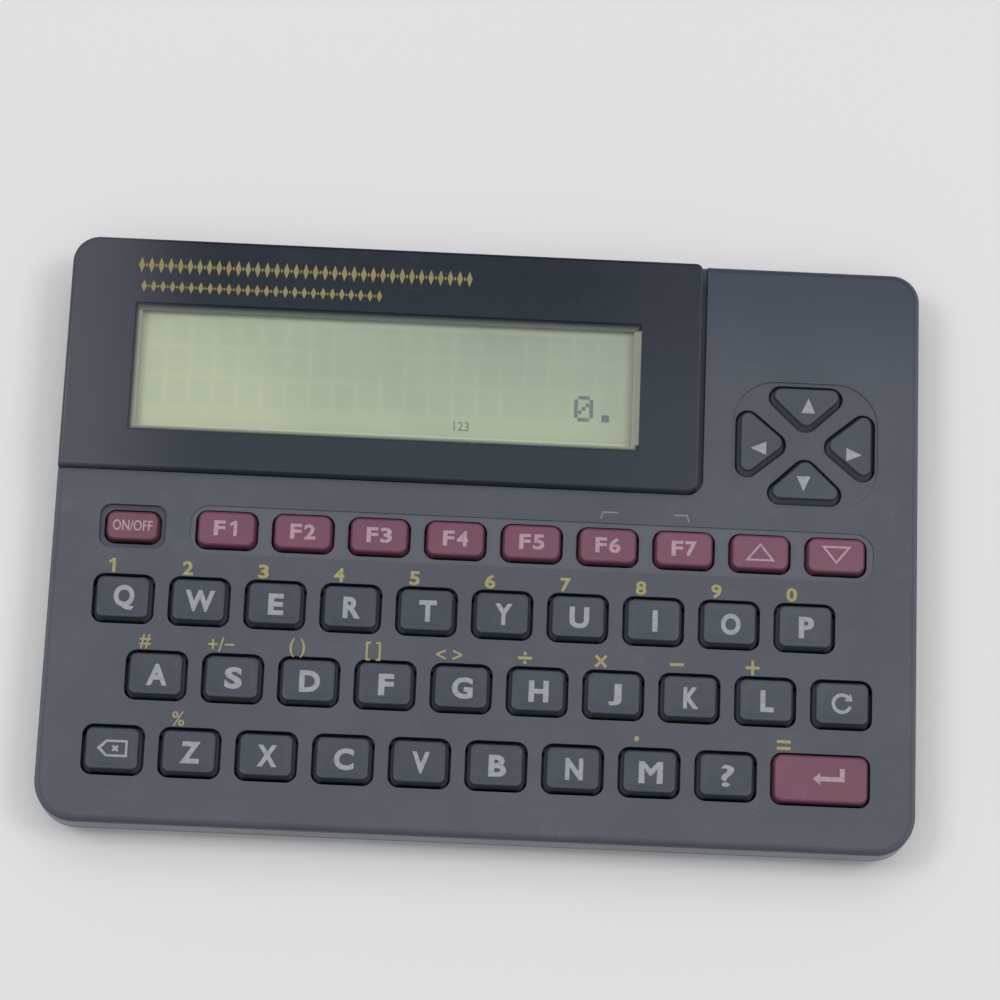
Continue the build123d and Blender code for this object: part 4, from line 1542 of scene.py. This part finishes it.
@dataclass
class Display:
    """What the liquid crystal shows and what is printed on the panel round it."""

    finishes: Finishes
    printing: Print
    columns: int = 20
    rows: int = 3
    cell_pitch: Point = (3.87, 5.05)
    last_cell: Point = (18.7, 22.95)
    dots: tuple[int, int] = (5, 7)
    dot_pitch: float = 0.62
    dot_size: float = 0.6
    zero: tuple[str, ...] = ("01110", "10001", "10011", "10101", "11001", "10001", "01110")
    point: tuple[str, ...] = ("00000", "00000", "00000", "00000", "00000", "01100", "01100")
    ornament_pitch: float = 1.55
    # painted highlight strip along the glass's lower edge: left, right, low, high
    glass_edge_highlight: tuple[float, float, float, float] = (-57.0, 22.5, 16.95, 17.2)

    def build(self) -> None:
        """Builds the shown and the idle dots and the panel's print."""
        self.segments()
        self.panel_lines()

    def dot_loops(self, column: int, row: int, pattern: Sequence[str], lit: bool) -> list[list[Point]]:
        """Loops of one cell's dots that are lit, or of those that are not.

        Args:
            column: The cell's column from the left.
            row: Its row from the top.
            pattern: Rows of 0 and 1.
            lit: Which dots to give.

        Returns:
            A square loop for each dot.
        """
        centre_x = self.last_cell[0] - (self.columns - 1 - column) * self.cell_pitch[0]
        centre_y = self.last_cell[1] + (self.rows - 1 - row) * self.cell_pitch[1]
        loops = []
        for down, line in enumerate(pattern):
            for across, dot in enumerate(line):
                if (dot == "1") is lit:
                    x = centre_x + (across - (self.dots[0] - 1) / 2) * self.dot_pitch
                    y = centre_y - (down - (self.dots[1] - 1) / 2) * self.dot_pitch
                    half = self.dot_size / 2
                    loops.append(bar(x - half, x + half, y - half, y + half))
        return loops

    def squares(self, name: str, loops: Sequence[Sequence[Point]], height: float, ink: bpy.types.Material) -> bpy.types.Object:
        """Thin square dots as one piece.

        Args:
            name: The piece's name.
            loops: The squares.
            height: Height of the face that they lie on.
            ink: Their material.

        Returns:
            The new object.
        """
        body = bmesh.new()
        level = Placing()
        for loop in loops:
            body.faces.new([body.verts.new(level.at(point, height)) for point in loop])
        raised = bmesh.ops.extrude_face_region(body, geom=body.faces[:])
        for item in raised["geom"]:
            if isinstance(item, bmesh.types.BMVert):
                item.co.z += 0.014 * MM
        bmesh.ops.recalc_face_normals(body, faces=body.faces)
        mesh = bpy.data.meshes.new(name)
        body.to_mesh(mesh)
        body.free()
        return add_object(name, mesh, ink)

    def segments(self) -> None:
        """Dots of the liquid crystal: a nought and a point lit, the others idle, and a painted highlight along the
        glass's lower edge.
        """
        blank = ("0" * self.dots[0],) * self.dots[1]
        shown = {(self.columns - 2, self.rows - 1): self.zero, (self.columns - 1, self.rows - 1): self.point}
        idle: list[list[Point]] = []
        lit: list[list[Point]] = []
        for column in range(self.columns):
            for row in range(self.rows):
                pattern = shown.get((column, row), blank)
                idle += self.dot_loops(column, row, pattern, False)
                lit += self.dot_loops(column, row, pattern, True)
        face = box_mm("lcd_panel")[1].z
        for name, loops, ink in (("idle_dots", idle, "idle_segment"), ("lit_dots", lit, "segment_ink")):
            piece = self.squares(name, loops, face - 0.003, self.finishes.inks[ink])
            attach(piece, "case")
            log.info("%s: %d dots", name, len(loops))
        # painted highlight: a thin pale strip along the glass's lower edge
        edge = self.squares("glass_edge_highlight", [bar(*self.glass_edge_highlight)], face - 0.003, self.finishes.inks["lcd_highlight_ink"])
        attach(edge, "case")
        mark = self.printing.text(
            "mode_mark", "123", 1.5, Placing((-4.8, 19.05)), face, self.finishes.inks["segment_ink"], 0.0
        )
        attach(mark, "case")

    def panel_lines(self) -> None:
        """Plain gold borders in the place of the titles, and the pale bracket over the function keys."""
        face = box_mm("display_bezel")[1].z
        gold = self.finishes.inks["title_ink"]
        borders = (("title_border", -58.4, -3.7, 43.2, 2.7), ("under_border", -57.8, -18.2, 39.6, 2.0))
        for name, left, right, y, height in borders:
            count = round((right - left) / self.ornament_pitch)
            pitch = (right - left) / count
            loops = []
            for place in range(count):
                x = left + (place + 0.5) * pitch
                loops.append(lozenge(x, y, pitch * 0.62, height))
                if place:
                    loops.append(lozenge(x - pitch / 2, y, pitch * 0.24, height * 0.3))
            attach(self.printing.shape(name, loops, Placing(), face, gold), "case")
        pale = self.finishes.inks["pale_ink"]
        case_face = box_mm("top_case")[1].z
        for name, foot, reach in (("bracket_left", 18.0, 20.9), ("bracket_right", 32.4, 29.9)):
            side = 1 if reach > foot else -1
            loop = [(foot, 4.4), (foot + side * 0.25, 4.4), (foot + side * 0.55, 5.35), (reach, 5.35),
                    (reach, 5.6), (foot + side * 0.4, 5.6)]
            piece = self.printing.shape(name, [loop], Placing(), case_face, pale)
            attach(piece, "case")


def main() -> None:
    """Builds the studio and every sub-assembly in order."""
    logging.basicConfig(level=logging.INFO, format="%(name)s: %(message)s")
    Studio().build()
    finishes = Finishes()
    printing = Print()
    CaseParts(finishes).build()
    Keypad(finishes, printing).build()
    Display(finishes, printing).build()
    log.info("every piece is in place")


if __name__ == "__main__":
    main()
